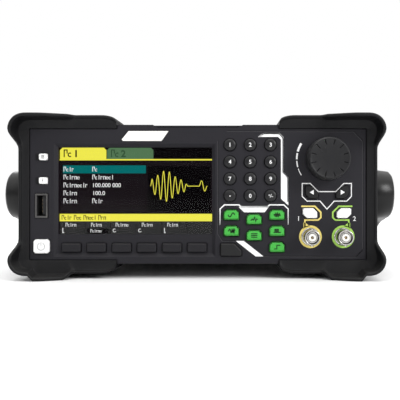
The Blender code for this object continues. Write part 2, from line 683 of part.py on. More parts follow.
def turned_round(bm, depth):
    """Swap the boot's end face from the front plane to the rear plane."""
    bmesh.ops.scale(bm, verts=bm.verts, vec=(1, -1, 1))
    bmesh.ops.reverse_faces(bm, faces=bm.faces)
    return shifted(bm, depth=depth)


def make_boots(material, parent):
    for side, is_left in (("left", True), ("right", False)):
        front = boot_body(LIP_REACH, FLANGE_BACK + BOOT_SKIRT, FLANGE_BACK + BOOT_WAIST_SKIRT, BOOT_EDGE,
                          PANEL_HALF_W + TOUCH_GAP, PANEL_HALF_H + TOUCH_GAP, RIM_DEPTH - TOUCH_GAP)
        rear_start = REAR_PANEL_THICK
        rear = boot_body(REAR_LIP_REACH, rear_start + REAR_BOOT_SKIRT, rear_start + REAR_BOOT_WAIST_SKIRT,
                         REAR_BOOT_LAP, PANEL_HALF_W, PANEL_HALF_H, -TOUCH_GAP)
        rear = turned_round(rear, CASE_DEPTH)
        if is_left:
            front, rear = mirrored(front), mirrored(rear)
        make_object(f"front_bumper_{side}", front, material, (0, 0, 0), parent, smooth=True)
        make_object(f"rear_bumper_{side}", rear, material, (0, 0, 0), parent, smooth=True)


# Handle ---------------------------------------------------------------------------------------

def arm_outline():
    """Arm seen from the side, about the hinge axis: (depth, z) at rest."""
    along = Vector((math.cos(ARM_SLOPE), -math.sin(ARM_SLOPE)))
    across = Vector((math.sin(ARM_SLOPE), math.cos(ARM_SLOPE)))
    root = across * (HUB_R_IN - HUB_BEVEL)
    shoulder = across * (ARM_WIDTH / 2 + ARM_SHOULDER_SWELL)
    edge = across * (ARM_WIDTH / 2)
    bend = along * (ARM_LENGTH - ARM_BEND)
    grip_centre = along * ARM_LENGTH
    half_grip = GRIP_WIDTH / 2
    bottom = grip_centre.y - GRIP_THICK / 2
    top = grip_centre.y + GRIP_THICK / 2
    return [
        tuple(-root),
        tuple(along * ARM_SHOULDER - shoulder),
        tuple(bend - edge),
        (grip_centre.x - half_grip, bottom),
        (grip_centre.x + half_grip - ARM_HEEL, bottom),
        (grip_centre.x + half_grip, bottom + ARM_HEEL),
        (grip_centre.x + half_grip, top),
        tuple(bend + edge),
        tuple(along * ARM_SHOULDER + shoulder),
        tuple(root),
    ]


def make_handle(material, grip_material, parent):
    pivot_empty = bpy.data.objects.new("handle_axis", None)
    bpy.context.scene.collection.objects.link(pivot_empty)
    pivot_empty.location = (0, HUB_DEPTH, HUB_Z)
    pivot_empty.parent = parent
    pin_end = CASE_HALF_W - COVER_WALL - PIVOT_REACH
    hub_r_out = HUB_R_IN - HUB_TAPER
    for side, sign in (("left", -1), ("right", 1)):
        drum = [
            (0, pin_end), (PIVOT_R, pin_end), (PIVOT_R, HUB_X_IN), (HUB_R_IN, HUB_X_IN),
            (HUB_R_IN, HUB_X_IN + HUB_STRAIGHT), (hub_r_out, HUB_X_OUT - HUB_BEVEL),
            (hub_r_out - HUB_BEVEL, HUB_X_OUT), (0, HUB_X_OUT),
        ]
        bm = turned(drum)
        bmesh.ops.rotate(bm, verts=bm.verts, matrix=Matrix.Rotation(math.radians(-90), 3, "Z"))
        arm = side_prism(arm_outline(), ARM_X_IN, ARM_X_IN + ARM_THICK)
        if sign < 0:
            bm, arm = mirrored(bm), mirrored(arm)
        hub = make_object(f"handle_arm_{side}", bm, material, (0, 0, 0), pivot_empty)
        fuse(hub, arm, "arm")
    centre_y = ARM_LENGTH * math.cos(ARM_SLOPE)
    centre_z = -ARM_LENGTH * math.sin(ARM_SLOPE)
    half_w, half_t = GRIP_WIDTH / 2, GRIP_THICK / 2
    section = rounded(
        [(centre_y - half_w, centre_z - half_t), (centre_y + half_w, centre_z - half_t),
         (centre_y + half_w, centre_z + half_t), (centre_y - half_w, centre_z + half_t)],
        [GRIP_CORNER_R] * 4, steps=3)
    reach = ARM_X_IN - TOUCH_GAP
    make_object("handle_grip", side_prism(section, -reach, reach), grip_material,
                (0, 0, 0), pivot_empty)


# Front pieces ---------------------------------------------------------------------------------

def make_screen(window_material, module_material, parent):
    x0, x1 = SCREEN_X[0] - WINDOW_LAP, SCREEN_X[1] + WINDOW_LAP
    z0, z1 = SCREEN_Z[0] - WINDOW_LAP, SCREEN_Z[1] + WINDOW_LAP
    make_object("lcd_window", box((x0, x1), (WINDOW_FRONT, WINDOW_FRONT + WINDOW_THICK), (z0, z1)),
                window_material, (0, 0, 0), parent)
    module_x = (x0 - MODULE_LAP, x1 + MODULE_LAP)
    module_z = (z0, z1 + MODULE_LAP)
    module = box(module_x, (MODULE_FRONT, MODULE_FRONT + MODULE_THICK), module_z)
    bmesh.ops.bevel(module, geom=module.edges, offset=KEY_EDGE, segments=1, affect="EDGES")
    make_object("lcd_module", module, module_material, (0, 0, 0), parent)
    return module_x, module_z


def make_key_board(module_x, module_z, material, parent):
    half_w = PANEL_HALF_W - PANEL_WALL - BOARD_MARGIN[0]
    half_h = PANEL_HALF_H - PANEL_WALL - BOARD_MARGIN[1]
    board = prism(rectangle(half_w, half_h), BOARD_FRONT, BOARD_FRONT + BOARD_THICK)
    obj = make_object("key_board", board, material, (0, 0, 0), parent)
    gap = 2 * TOUCH_GAP
    depth_range = (BOARD_FRONT - CUT_PAST, BOARD_FRONT + BOARD_THICK + CUT_PAST)
    holes = [box((module_x[0] - gap, module_x[1] + gap), depth_range, (module_z[0] - gap, module_z[1] + gap))]
    for side in (-1, 1):
        hole = circle(BNC_R + BNC_SEAT + gap, 20, (KNOB_X + side * BNC_DX, BNC_Z))
        holes.append(prism(hole, *depth_range))
    usb_hole = rectangle(USB_SIZE[0] / 2 + gap, USB_SIZE[1] / 2 + gap, USB_POS)
    holes.append(prism(usb_hole, *depth_range))
    cut(obj, holes)


def make_knob(knob_material, shaft_material, encoder_material, parent):
    face = -KNOB_LIFT - KNOB_HEIGHT
    bore = SHAFT_R + SHAFT_CLEAR
    bore_end = face + KNOB_CAP
    face_r = KNOB_R - KNOB_FACE_INSET
    profile = [
        (0, bore_end), (bore, bore_end), (bore, -KNOB_LIFT), (KNOB_R, -KNOB_LIFT),
        (KNOB_R, -KNOB_LIFT - 0.25 * KNOB_HEIGHT), (KNOB_R - 0.6 * mm, face + 0.2 * KNOB_HEIGHT),
        (face_r + 0.8 * mm, face + 0.3 * mm), (face_r, face), (face_r - 0.8 * mm, face + 0.6 * mm),
        (0, face + 0.9 * mm),
    ]
    place = (KNOB_X, 0, KNOB_Z)
    make_object("knob", turned(profile, 36), knob_material, place, parent, smooth=True)
    encoder_front = PANEL_THICK + TOUCH_GAP
    encoder_back = BOARD_FRONT - TOUCH_GAP
    shaft = [(0, bore_end + TOUCH_GAP), (SHAFT_R, bore_end + TOUCH_GAP),
             (SHAFT_R, encoder_back - ENCODER_FLOOR), (0, encoder_back - ENCODER_FLOOR)]
    make_object("encoder_shaft", turned(shaft, 24), shaft_material, place, parent)
    half = ENCODER_SIZE / 2
    body = make_object("encoder_body", box((-half, half), (encoder_front, encoder_back), (-half, half)),
                       encoder_material, place, parent)
    cut(body, [prism(circle(SHAFT_R + SHAFT_CLEAR, 24), encoder_front - CUT_PAST,
                     encoder_back - ENCODER_FLOOR + SHAFT_CLEAR)])


def bnc_profile(panel_thick):
    """Closed (radius, depth) section: mouth at the front, hex seat behind the panel, solid tail."""
    seat = panel_thick + TOUCH_GAP
    seat_back = seat + BNC_SEAT_THICK
    seat_r = BNC_R + BNC_SEAT
    floor = -BNC_REACH + BNC_BORE_DEPTH
    bevel = 0.4 * BNC_WALL
    return [
        (0, floor), (BNC_BORE_R, floor), (BNC_BORE_R, -BNC_REACH), (BNC_R - bevel, -BNC_REACH),
        (BNC_R, -BNC_REACH + bevel), (BNC_R, seat), (seat_r, seat), (seat_r, seat_back),
        (BNC_BORE_R, seat_back), (BNC_BORE_R, seat_back + BNC_TAIL), (0, seat_back + BNC_TAIL),
    ]


def make_bnc(name, place, panel_thick, material, parent, faces_rear=False):
    body = turned(bnc_profile(panel_thick), 24)
    lug_depth = -BNC_REACH + BNC_LUG_BACK
    lug_foot = (BNC_BORE_R + BNC_R) / 2
    lug_end = BNC_R + BNC_LUG_REACH
    if faces_rear:
        body = turned_round(body, 0)
        lug_depth = -lug_depth
    obj = make_object(name, body, material, place, parent)
    for tag, sign in (("top", 1), ("bottom", -1)):
        lug = turned([(0, lug_foot), (BNC_LUG_R, lug_foot), (BNC_LUG_R, lug_end), (0, lug_end)], 10)
        bmesh.ops.rotate(lug, verts=lug.verts, matrix=Matrix.Rotation(math.radians(90 * sign), 3, "X"))
        fuse(obj, shifted(lug, depth=lug_depth), tag)


def make_socket(name, place, size, wall, front, depth, mouth_depth, material, parent, facing=1):
    """Open-mouthed box; facing is 1 for a mouth at the front and -1 for one at the rear."""
    y_mouth = -facing * front
    y_back = facing * depth
    body = prism(rectangle(size[0] / 2, size[1] / 2), y_mouth, y_back)
    obj = make_object(name, body, material, place, parent)
    mouth = rectangle(size[0] / 2 - wall, size[1] / 2 - wall)
    cut(obj, [prism(mouth, y_mouth - facing * CUT_PAST, y_mouth + facing * mouth_depth)])


# Rear pieces ----------------------------------------------------------------------------------

def vent_slots():
    """Horizontal slots clipped by a circle round the fan, each split by a middle bar."""
    slots = []
    rows = int(VENT_R // VENT_PITCH)
    for row in range(-rows, rows + 1):
        z = row * VENT_PITCH
        reach = math.sqrt(VENT_R ** 2 - z ** 2)
        for sign in (-1, 1):
            x_range = sorted((sign * VENT_SLOT / 2, sign * reach))
            if x_range[1] - x_range[0] > VENT_SLOT:
                slots.append((x_range, (z - VENT_SLOT / 2, z + VENT_SLOT / 2)))
    return slots


def make_rear_panel(material, parent):
    outline = case_outline()
    panel = make_object("rear_panel", prism(outline, CASE_DEPTH - REAR_PANEL_THICK, CASE_DEPTH),
                        material, (0, 0, 0), parent)
    depth_range = (CASE_DEPTH - REAR_PANEL_THICK - CUT_PAST, CASE_DEPTH + CUT_PAST)
    holes = []
    for x_range, z_range in vent_slots():
        holes.append(box((FAN_X + x_range[0], FAN_X + x_range[1]), depth_range,
                         (FAN_Z + z_range[0], FAN_Z + z_range[1])))
    inlet = chamfered((INLET_BODY[0] + 2 * TOUCH_GAP, INLET_BODY[1] + 2 * TOUCH_GAP))
    holes.append(prism([(x + INLET_X, z + INLET_Z) for x, z in inlet], *depth_range))
    holes.append(prism(circle(BNC_R + TOUCH_GAP, 24, (REAR_BNC_X, REAR_BNC_Z)), *depth_range))
    usb = rectangle(USB_B_SIZE[0] / 2 + TOUCH_GAP, USB_B_SIZE[1] / 2 + TOUCH_GAP, USB_B_POS)
    holes.append(prism(usb, *depth_range))
    cut(panel, holes)


def make_inlet(material, parent):
    """Snap-in appliance inlet: flange outside the rear panel, body through it, open mouth."""
    place = (INLET_X, CASE_DEPTH, INLET_Z)
    flange_back = TOUCH_GAP + INLET_FLANGE_THICK
    flange_size = [side + 2 * INLET_LAP for side in INLET_BODY]
    mouth_size = [side - 2 * INLET_WALL for side in INLET_BODY]
    body = make_object("mains_inlet", prism(chamfered(INLET_BODY), -INLET_DEPTH, 2 * TOUCH_GAP),
                       material, place, parent)
    fuse(body, prism(chamfered(flange_size, small=INLET_WALL), TOUCH_GAP, flange_back), "flange")
    mouth = chamfered(mouth_size, INLET_CHAMFER, INLET_CHAMFER)
    cut(body, [prism(mouth, flange_back - INLET_MOUTH_DEPTH, flange_back + CUT_PAST)])


def make_fan(frame_material, rotor_material, parent):
    back = CASE_DEPTH - REAR_PANEL_THICK - TOUCH_GAP
    place = (FAN_X, back - FAN_DEPTH, FAN_Z)
    half = FAN_SIZE / 2
    strut_width, strut_depth = FAN_STRUT
    frame = make_object("fan_frame", prism(rounded(rectangle(half, half), [4 * mm] * 4, 3), 0, FAN_DEPTH),
                        frame_material, place, parent)
    cut(frame, [prism(circle(FAN_BORE_R), -CUT_PAST, FAN_DEPTH + CUT_PAST)])
    reach = FAN_BORE_R + FAN_WALL / 2
    fuse(frame, prism(rectangle(reach, strut_width / 2), 0, strut_depth), "strut_a")
    fuse(frame, prism(rectangle(strut_width / 2, reach), 0, strut_depth), "strut_b")
    fuse(frame, prism(circle(FAN_HUB_R, 20), 0, strut_depth), "motor")
    hub_front = strut_depth + TOUCH_GAP
    hub_back = FAN_DEPTH - FAN_TIP_CLEAR
    rotor = make_object("fan_rotor", prism(circle(FAN_HUB_R, 28), hub_front, hub_back),
                        rotor_material, place, parent)
    for index in range(FAN_BLADES):
        blade = fan_blade(math.tau * index / FAN_BLADES, (hub_front + hub_back) / 2)
        fuse(rotor, blade, f"blade_{index + 1}")


def fan_blade(start_angle, middle):
    """One twisted blade: sections swept back and flattened from the hub to the tip."""
    sections = 4
    root_r = FAN_HUB_R - FAN_BLADE_THICK
    tip_chord, root_chord = 0.18 * FAN_SIZE, 0.125 * FAN_SIZE
    rings = []
    for step in range(sections):
        share = step / (sections - 1)
        radius = root_r + (FAN_BLADE_R - root_r) * share
        pitch = math.radians(46 - 18 * share)
        chord = root_chord + (tip_chord - root_chord) * share
        angle = start_angle + 0.42 * share
        radial = Vector((math.cos(angle), 0, math.sin(angle)))
        tangent = Vector((-math.sin(angle), 0, math.cos(angle)))
        along = tangent * math.cos(pitch) + Vector((0, 1, 0)) * math.sin(pitch)
        normal = radial.cross(along) * FAN_BLADE_THICK
        centre = radial * radius + Vector((0, middle, 0))
        rings.append([centre + along * chord * a + normal * b
                      for a, b in ((-0.5, -0.5), (0.5, -0.5), (0.5, 0.5), (-0.5, 0.5))])
    return loft(rings)


def make_inner_boards(board_material, supply_material, parent):
    half_w = MAIN_BOARD_SIZE[0] / 2
    x_range = (MAIN_BOARD_X - half_w, MAIN_BOARD_X + half_w)
    y_range = (MAIN_BOARD_FRONT, MAIN_BOARD_FRONT + MAIN_BOARD_SIZE[1])
    top = MAIN_BOARD_Z + BOARD_THICK
    board = make_object("main_board", box(x_range, y_range, (MAIN_BOARD_Z, top)),
                        board_material, (0, 0, 0), parent)
    for tag, (x, y), (size_x, size_y), height in BOARD_BLOCKS:
        block = box((x_range[0] + x, x_range[0] + x + size_x), (y_range[0] + y, y_range[0] + y + size_y),
                    (top - TOUCH_GAP, top + height))
        fuse(board, block, tag)
    width, depth, height = SUPPLY_SIZE
    supply = box((SUPPLY_X - width / 2, SUPPLY_X + width / 2), (SUPPLY_FRONT, SUPPLY_FRONT + depth),
                 (MAIN_BOARD_Z, MAIN_BOARD_Z + height))
    bmesh.ops.bevel(supply, geom=supply.edges, offset=KEY_EDGE, segments=1, affect="EDGES")
    make_object("power_supply", supply, supply_material, (0, 0, 0), parent)


# Build ----------------------------------------------------------------------------------------

def main():
    clear_scene()
    plastic = make_material("front_plastic", (0.030, 0.028, 0.034), 0.42)
    rubber = make_material("boot_rubber", (0.018, 0.018, 0.020), 0.62)
    handle_plastic = make_material("handle_plastic", (0.025, 0.025, 0.028), 0.5)
    cover_paint = make_material("cover_paint", (0.33, 0.33, 0.34), 0.5)
    rear_paint = make_material("rear_paint", (0.30, 0.30, 0.31), 0.5)
    window = make_material("screen_window", (0.01, 0.008, 0.01), 0.12)
    metal = make_material("bright_metal", (0.62, 0.60, 0.58), 0.25, 1.0)
    circuit = make_material("circuit_board", (0.02, 0.13, 0.05), 0.5)
    black_plastic = make_material("black_plastic", (0.012, 0.012, 0.013), 0.45)
    tones = {
        "dark": make_material("dark_key_rubber", (0.022, 0.021, 0.024), 0.6),
        "green": make_material("green_key_rubber", (0.07, 0.42, 0.065), 0.5),
        "white": make_material("white_key_plastic", (0.85, 0.85, 0.84), 0.4),
    }

    case = bpy.data.objects.new("panel_centre", None)
    bpy.context.scene.collection.objects.link(case)
    case.location = (0, PANEL_Y, FLOOR_TO_CENTRE)

    keys = key_layout()
    make_front_frame(keys, plastic, case)
    for name, (outline, centre, face_depth, tone) in keys.items():
        make_key(name, outline, centre, face_depth, tones[tone], case)
    module_x, module_z = make_screen(window, metal, case)
    make_key_board(module_x, module_z, circuit, case)
    make_knob(black_plastic, metal, black_plastic, case)
    make_bnc("bnc_output_1", (KNOB_X - BNC_DX, 0, BNC_Z), PANEL_THICK, metal, case)
    make_bnc("bnc_output_2", (KNOB_X + BNC_DX, 0, BNC_Z), PANEL_THICK, metal, case)
    make_socket("usb_host_port", (USB_POS[0], 0, USB_POS[1]), USB_SIZE, USB_WALL, USB_RISE,
                USB_DEPTH, USB_MOUTH_DEPTH, metal, case)

    make_case_shell("top_cover", True, cover_paint, case)
    make_case_shell("bottom_chassis", False, cover_paint, case)
    make_boots(rubber, case)
    make_handle(handle_plastic, handle_plastic, case)

    make_rear_panel(rear_paint, case)
    make_inlet(black_plastic, case)
    make_fan(black_plastic, black_plastic, case)
    make_bnc("bnc_rear", (REAR_BNC_X, CASE_DEPTH, REAR_BNC_Z), REAR_PANEL_THICK, metal, case,
             faces_rear=True)
    make_socket("usb_device_port", (USB_B_POS[0], CASE_DEPTH, USB_B_POS[1]), USB_B_SIZE, USB_B_WALL,
                USB_B_RISE, USB_B_DEPTH, USB_B_MOUTH_DEPTH, metal, case, facing=-1)
    make_inner_boards(circuit, metal, case)


main()
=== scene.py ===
import json
import math

import bmesh
import bpy
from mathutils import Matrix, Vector


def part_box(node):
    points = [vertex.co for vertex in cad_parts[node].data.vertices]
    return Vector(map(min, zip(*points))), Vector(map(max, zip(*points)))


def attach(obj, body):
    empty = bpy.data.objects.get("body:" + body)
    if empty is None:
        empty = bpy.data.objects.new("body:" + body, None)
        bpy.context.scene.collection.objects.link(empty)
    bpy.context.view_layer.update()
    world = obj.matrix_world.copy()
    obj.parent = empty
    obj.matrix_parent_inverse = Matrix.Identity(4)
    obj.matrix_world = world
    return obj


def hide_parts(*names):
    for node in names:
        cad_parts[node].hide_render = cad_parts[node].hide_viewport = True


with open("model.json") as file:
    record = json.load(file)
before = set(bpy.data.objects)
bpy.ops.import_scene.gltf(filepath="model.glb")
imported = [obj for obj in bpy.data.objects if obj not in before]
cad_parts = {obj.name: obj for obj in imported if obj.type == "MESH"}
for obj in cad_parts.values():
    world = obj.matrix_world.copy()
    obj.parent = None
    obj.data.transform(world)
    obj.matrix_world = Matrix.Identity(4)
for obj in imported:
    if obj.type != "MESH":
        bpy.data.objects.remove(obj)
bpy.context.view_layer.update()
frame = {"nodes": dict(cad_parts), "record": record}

mm = 0.001
scene = bpy.context.scene
bodyOf = {node: body for body, members in frame["record"]["behaviour"]["bodies"].items() for node in members}
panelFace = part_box("front_bezel")[0].y              # depth is measured back from here
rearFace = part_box("rear_panel")[1].y
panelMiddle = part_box("front_bezel")[0].z + 44.2 * mm     # height of the panel's centre
print("frame loaded:", len(frame["nodes"]), "nodes")


def tone(red, green, blue):
    # screen values 0 to 255 to the linear values that shaders use
    shares = [c / 255 for c in (red, green, blue)]
    return tuple(c / 12.92 if c < 0.0431 else ((c + 0.055) / 1.055) ** 2.4 for c in shares)


def at(x, depth, z):
    return Vector((x * mm, panelFace + depth * mm, panelMiddle + z * mm))


def middleOf(node):
    # middle of a node in millimetres from the panel's centre, and its front face
    low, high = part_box(node)
    mid = (low + high) / 2
    return mid.x / mm, (mid.z - panelMiddle) / mm, (low.y - panelFace) / mm


def backOf(node):
    return (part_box(node)[1].y - panelFace) / mm


# finishes

def newGroup(name, inputs, outputs):
    group = bpy.data.node_groups.new(name, "ShaderNodeTree")
    for label, kind, value in inputs:
        socket = group.interface.new_socket(name=label, in_out="INPUT", socket_type=kind)
        socket.default_value = value
    for label, kind in outputs:
        group.interface.new_socket(name=label, in_out="OUTPUT", socket_type=kind)
    start = group.nodes.new("NodeGroupInput")
    end = group.nodes.new("NodeGroupOutput")
    return group, start, end


def addNode(tree, kind, settings=(), **values):
    node = tree.nodes.new(kind)
    for label, value in dict(settings).items():
        setattr(node, label, value)
    for label, value in values.items():
        node.inputs[label.replace("_", " ")].default_value = value
    return node


def maths(tree, operation, first, second, clamp=False):
    node = tree.nodes.new("ShaderNodeMath")
    node.operation = operation
    node.use_clamp = clamp
    for socket, value in zip(node.inputs, (first, second)):
        if isinstance(value, (int, float)):
            socket.default_value = value
        else:
            tree.links.new(value, socket)
    return node.outputs[0]


def blendColors(tree, amount, first, second, mode="MIX"):
    node = tree.nodes.new("ShaderNodeMix")
    node.data_type = "RGBA"
    node.blend_type = mode
    for socket, value in ((node.inputs[0], amount), (node.inputs[6], first), (node.inputs[7], second)):
        if isinstance(value, (int, float)):
            socket.default_value = value
        elif isinstance(value, tuple):
            socket.default_value = (*value, 1)
        else:
            tree.links.new(value, socket)
    return node.outputs[2]


def noiseAt(tree, coordinates, scale, detail=3.0, roughness=0.55):
    node = addNode(tree, "ShaderNodeTexNoise", Detail=detail, Roughness=roughness)
    tree.links.new(coordinates, node.inputs["Vector"])
    if isinstance(scale, (int, float)):
        node.inputs["Scale"].default_value = scale
    else:
        tree.links.new(scale, node.inputs["Scale"])
    return node.outputs["Fac"]


def makeMouldedGrain():
    # fine texture of moulded plastic, rubber or paint, with a slow drift in colour and gloss
    group, start, end = newGroup(
        "mouldedGrain",
        [("Color", "NodeSocketColor", (0.5, 0.5, 0.5, 1)), ("Color Drift", "NodeSocketFloat", 0.1),
         ("Roughness", "NodeSocketFloat", 0.5), ("Gloss Drift", "NodeSocketFloat", 0.1),
         ("Grain Scale", "NodeSocketFloat", 2500.0)],
        [("Color", "NodeSocketColor"), ("Roughness", "NodeSocketFloat"), ("Height", "NodeSocketFloat")])
    spot = addNode(group, "ShaderNodeTexCoord").outputs["Object"]
    fine = noiseAt(group, spot, start.outputs["Grain Scale"], 2.0, 0.6)
    slow = noiseAt(group, spot, 22.0, 4.0)
    middling = noiseAt(group, spot, 260.0, 3.0)
    drift = maths(group, "ADD", maths(group, "MULTIPLY", slow, 0.6), maths(group, "MULTIPLY", middling, 0.4))
    swing = maths(group, "MULTIPLY", maths(group, "SUBTRACT", drift, 0.5), start.outputs["Color Drift"])
    bright = maths(group, "ADD", maths(group, "MULTIPLY", swing, 2.0), 1.0)
    scaled = addNode(group, "ShaderNodeVectorMath", {"operation": "SCALE"})
    group.links.new(start.outputs["Color"], scaled.inputs[0])
    group.links.new(bright, scaled.inputs["Scale"])
    group.links.new(scaled.outputs[0], end.inputs["Color"])
    uneven = maths(group, "SUBTRACT", middling, 0.5)
    glossSwing = maths(group, "MULTIPLY", uneven, start.outputs["Gloss Drift"])
    gloss = maths(group, "ADD", start.outputs["Roughness"], glossSwing, True)
    group.links.new(gloss, end.inputs["Roughness"])
    group.links.new(fine, end.inputs["Height"])
    return group


def makeWornEdges():
    # corners rubbed lighter or darker by handling
    group, start, end = newGroup(
        "wornEdges",
        [("Color", "NodeSocketColor", (0.5, 0.5, 0.5, 1)),
         ("Edge Color", "NodeSocketColor", (0.8, 0.8, 0.8, 1)),
         ("Wear", "NodeSocketFloat", 0.3), ("Edge Width", "NodeSocketFloat", 0.5 * mm)],
        [("Color", "NodeSocketColor"), ("Mask", "NodeSocketFloat"), ("Normal", "NodeSocketVector")])
    soft = addNode(group, "ShaderNodeBevel", {"samples": 4})
    group.links.new(start.outputs["Edge Width"], soft.inputs["Radius"])
    flat = addNode(group, "ShaderNodeNewGeometry")
    dot = addNode(group, "ShaderNodeVectorMath", {"operation": "DOT_PRODUCT"})
    group.links.new(soft.outputs["Normal"], dot.inputs[0])
    group.links.new(flat.outputs["Normal"], dot.inputs[1])
    edge = maths(group, "MULTIPLY", maths(group, "SUBTRACT", 1.0, dot.outputs["Value"]), 6.0, True)
    spot = addNode(group, "ShaderNodeTexCoord").outputs["Object"]
    patchy = maths(group, "ADD", noiseAt(group, spot, 140.0, 5.0), 0.15, True)
    mask = maths(group, "MULTIPLY", maths(group, "MULTIPLY", edge, patchy), start.outputs["Wear"], True)
    rubbed = blendColors(group, mask, start.outputs["Color"], start.outputs["Edge Color"])
    group.links.new(rubbed, end.inputs["Color"])
    group.links.new(mask, end.inputs["Mask"])
    group.links.new(soft.outputs["Normal"], end.inputs["Normal"])
    return group


def makeHandlingMarks():
    # thin dust on what faces up, and faint smudges everywhere
    group, start, end = newGroup(
        "handlingMarks",
        [("Color", "NodeSocketColor", (0.5, 0.5, 0.5, 1)), ("Roughness", "NodeSocketFloat", 0.5),
         ("Dust", "NodeSocketFloat", 0.1), ("Smudges", "NodeSocketFloat", 0.1)],
        [("Color", "NodeSocketColor"), ("Roughness", "NodeSocketFloat")])
    spot = addNode(group, "ShaderNodeTexCoord").outputs["Object"]
    facing = addNode(group, "ShaderNodeSeparateXYZ")
    group.links.new(addNode(group, "ShaderNodeNewGeometry").outputs["Normal"], facing.inputs[0])
    upward = maths(group, "MAXIMUM", facing.outputs["Z"], 0.0)
    patchy = noiseAt(group, spot, 60.0, 6.0, 0.65)
    dusty = maths(group, "MULTIPLY", maths(group, "MULTIPLY", upward, patchy), start.outputs["Dust"], True)
    dusted = blendColors(group, dusty, start.outputs["Color"], (0.42, 0.41, 0.39))
    group.links.new(dusted, end.inputs["Color"])
    touched = maths(group, "SUBTRACT", noiseAt(group, spot, 34.0, 2.0), 0.55)
    smudge = maths(group, "MULTIPLY", touched, 4.0, True)
    shine = maths(group, "MULTIPLY", smudge, start.outputs["Smudges"])
    duller = maths(group, "ADD", start.outputs["Roughness"], maths(group, "MULTIPLY", dusty, 0.4))
    group.links.new(maths(group, "SUBTRACT", duller, shine, True), end.inputs["Roughness"])
    return group


def makeDrawnMetal():
    # fine drawn or turned lines in bare metal
    group, start, end = newGroup(
        "drawnMetal",
        [("Color", "NodeSocketColor", (0.6, 0.6, 0.6, 1)), ("Roughness", "NodeSocketFloat", 0.25),
         ("Line Scale", "NodeSocketFloat", 900.0), ("Line Strength", "NodeSocketFloat", 0.15)],
        [("Color", "NodeSocketColor"), ("Roughness", "NodeSocketFloat"), ("Height", "NodeSocketFloat")])
    spot = addNode(group, "ShaderNodeTexCoord").outputs["Object"]
    stretch = addNode(group, "ShaderNodeVectorMath", {"operation": "MULTIPLY"})
    group.links.new(spot, stretch.inputs[0])
    stretch.inputs[1].default_value = (0.15, 1.0, 0.15)
    lines = noiseAt(group, stretch.outputs[0], start.outputs["Line Scale"], 4.0)
    tarnish = noiseAt(group, spot, 180.0, 4.0)
    swing = maths(group, "MULTIPLY", maths(group, "SUBTRACT", lines, 0.5), start.outputs["Line Strength"])
    group.links.new(maths(group, "ADD", start.outputs["Roughness"], swing, True), end.inputs["Roughness"])
    dull = maths(group, "MULTIPLY", tarnish, 0.35)
    tarnished = blendColors(group, dull, start.outputs["Color"], (0.30, 0.28, 0.25))
    group.links.new(tarnished, end.inputs["Color"])
    group.links.new(lines, end.inputs["Height"])
    return group


def makeDisplayGrid():
    # rows and columns of a lit display
    group, start, end = newGroup(
        "displayGrid",
        [("Color", "NodeSocketColor", (1, 1, 1, 1)), ("Pitch", "NodeSocketFloat", 0.2 * mm),
         ("Grid", "NodeSocketFloat", 0.1)],
        [("Color", "NodeSocketColor")])
    spot = addNode(group, "ShaderNodeSeparateXYZ")
    group.links.new(addNode(group, "ShaderNodeTexCoord").outputs["Object"], spot.inputs[0])
    gaps = []
    for axis in ("X", "Z"):
        steps = maths(group, "DIVIDE", spot.outputs[axis], start.outputs["Pitch"])
        share = maths(group, "FRACT", steps, 0.0)
        gaps.append(maths(group, "LESS_THAN", share, 0.16))
    gap = maths(group, "MULTIPLY", maths(group, "MAXIMUM", gaps[0], gaps[1]), start.outputs["Grid"])
    group.links.new(blendColors(group, gap, start.outputs["Color"], (0.0, 0.0, 0.0)), end.inputs["Color"])
    return group


mouldedGrain = makeMouldedGrain()
wornEdges = makeWornEdges()
handlingMarks = makeHandlingMarks()
drawnMetal = makeDrawnMetal()
displayGrid = makeDisplayGrid()


def useGroup(tree, group, **values):
    node = tree.nodes.new("ShaderNodeGroup")
    node.node_tree = group
    for label, value in values.items():
        socket = node.inputs[label.replace("_", " ")]
        if isinstance(value, bpy.types.NodeSocket):
            tree.links.new(value, socket)
        else:
            socket.default_value = (*value, 1) if isinstance(value, tuple) else value
    return node


def newMaterial(name):
    material = bpy.data.materials.new(name)
    material.use_nodes = True
    return material, material.node_tree, material.node_tree.nodes["Principled BSDF"]


def makeSolid(name, look):
    # opaque plastic, rubber, paint or print
    material, tree, shader = newMaterial(name)
    grain = useGroup(tree, mouldedGrain, Color=look["color"], Color_Drift=look.get("drift", 0.12),
                     Roughness=look["roughness"], Gloss_Drift=look.get("glossDrift", 0.14),
                     Grain_Scale=look.get("grainScale", 2600.0))
    worn = useGroup(tree, wornEdges, Color=grain.outputs["Color"],
                    Edge_Color=look.get("edgeColor", tuple(min(c * 2.2 + 0.01, 1) for c in look["color"])),
                    Wear=look.get("wear", 0.35), Edge_Width=look.get("edgeWidth", 0.5) * mm)
    marks = useGroup(tree, handlingMarks, Color=worn.outputs["Color"], Roughness=grain.outputs["Roughness"],
                     Dust=look.get("dust", 0.1), Smudges=look.get("smudges", 0.08))
    bump = addNode(tree, "ShaderNodeBump", Strength=look.get("grainStrength", 0.25),
                   Distance=look.get("grainDepth", 0.05) * mm)
    tree.links.new(grain.outputs["Height"], bump.inputs["Height"])
    tree.links.new(worn.outputs["Normal"], bump.inputs["Normal"])
    tree.links.new(marks.outputs["Color"], shader.inputs["Base Color"])
    tree.links.new(marks.outputs["Roughness"], shader.inputs["Roughness"])
    tree.links.new(bump.outputs["Normal"], shader.inputs["Normal"])
    shader.inputs["Specular IOR Level"].default_value = look.get("specular", 0.4)
    shader.inputs["Coat Weight"].default_value = look.get("coat", 0.0)
    shader.inputs["Coat Roughness"].default_value = look.get("coatRoughness", 0.15)
    shader.inputs["Sheen Weight"].default_value = look.get("sheen", 0.0)
    return material


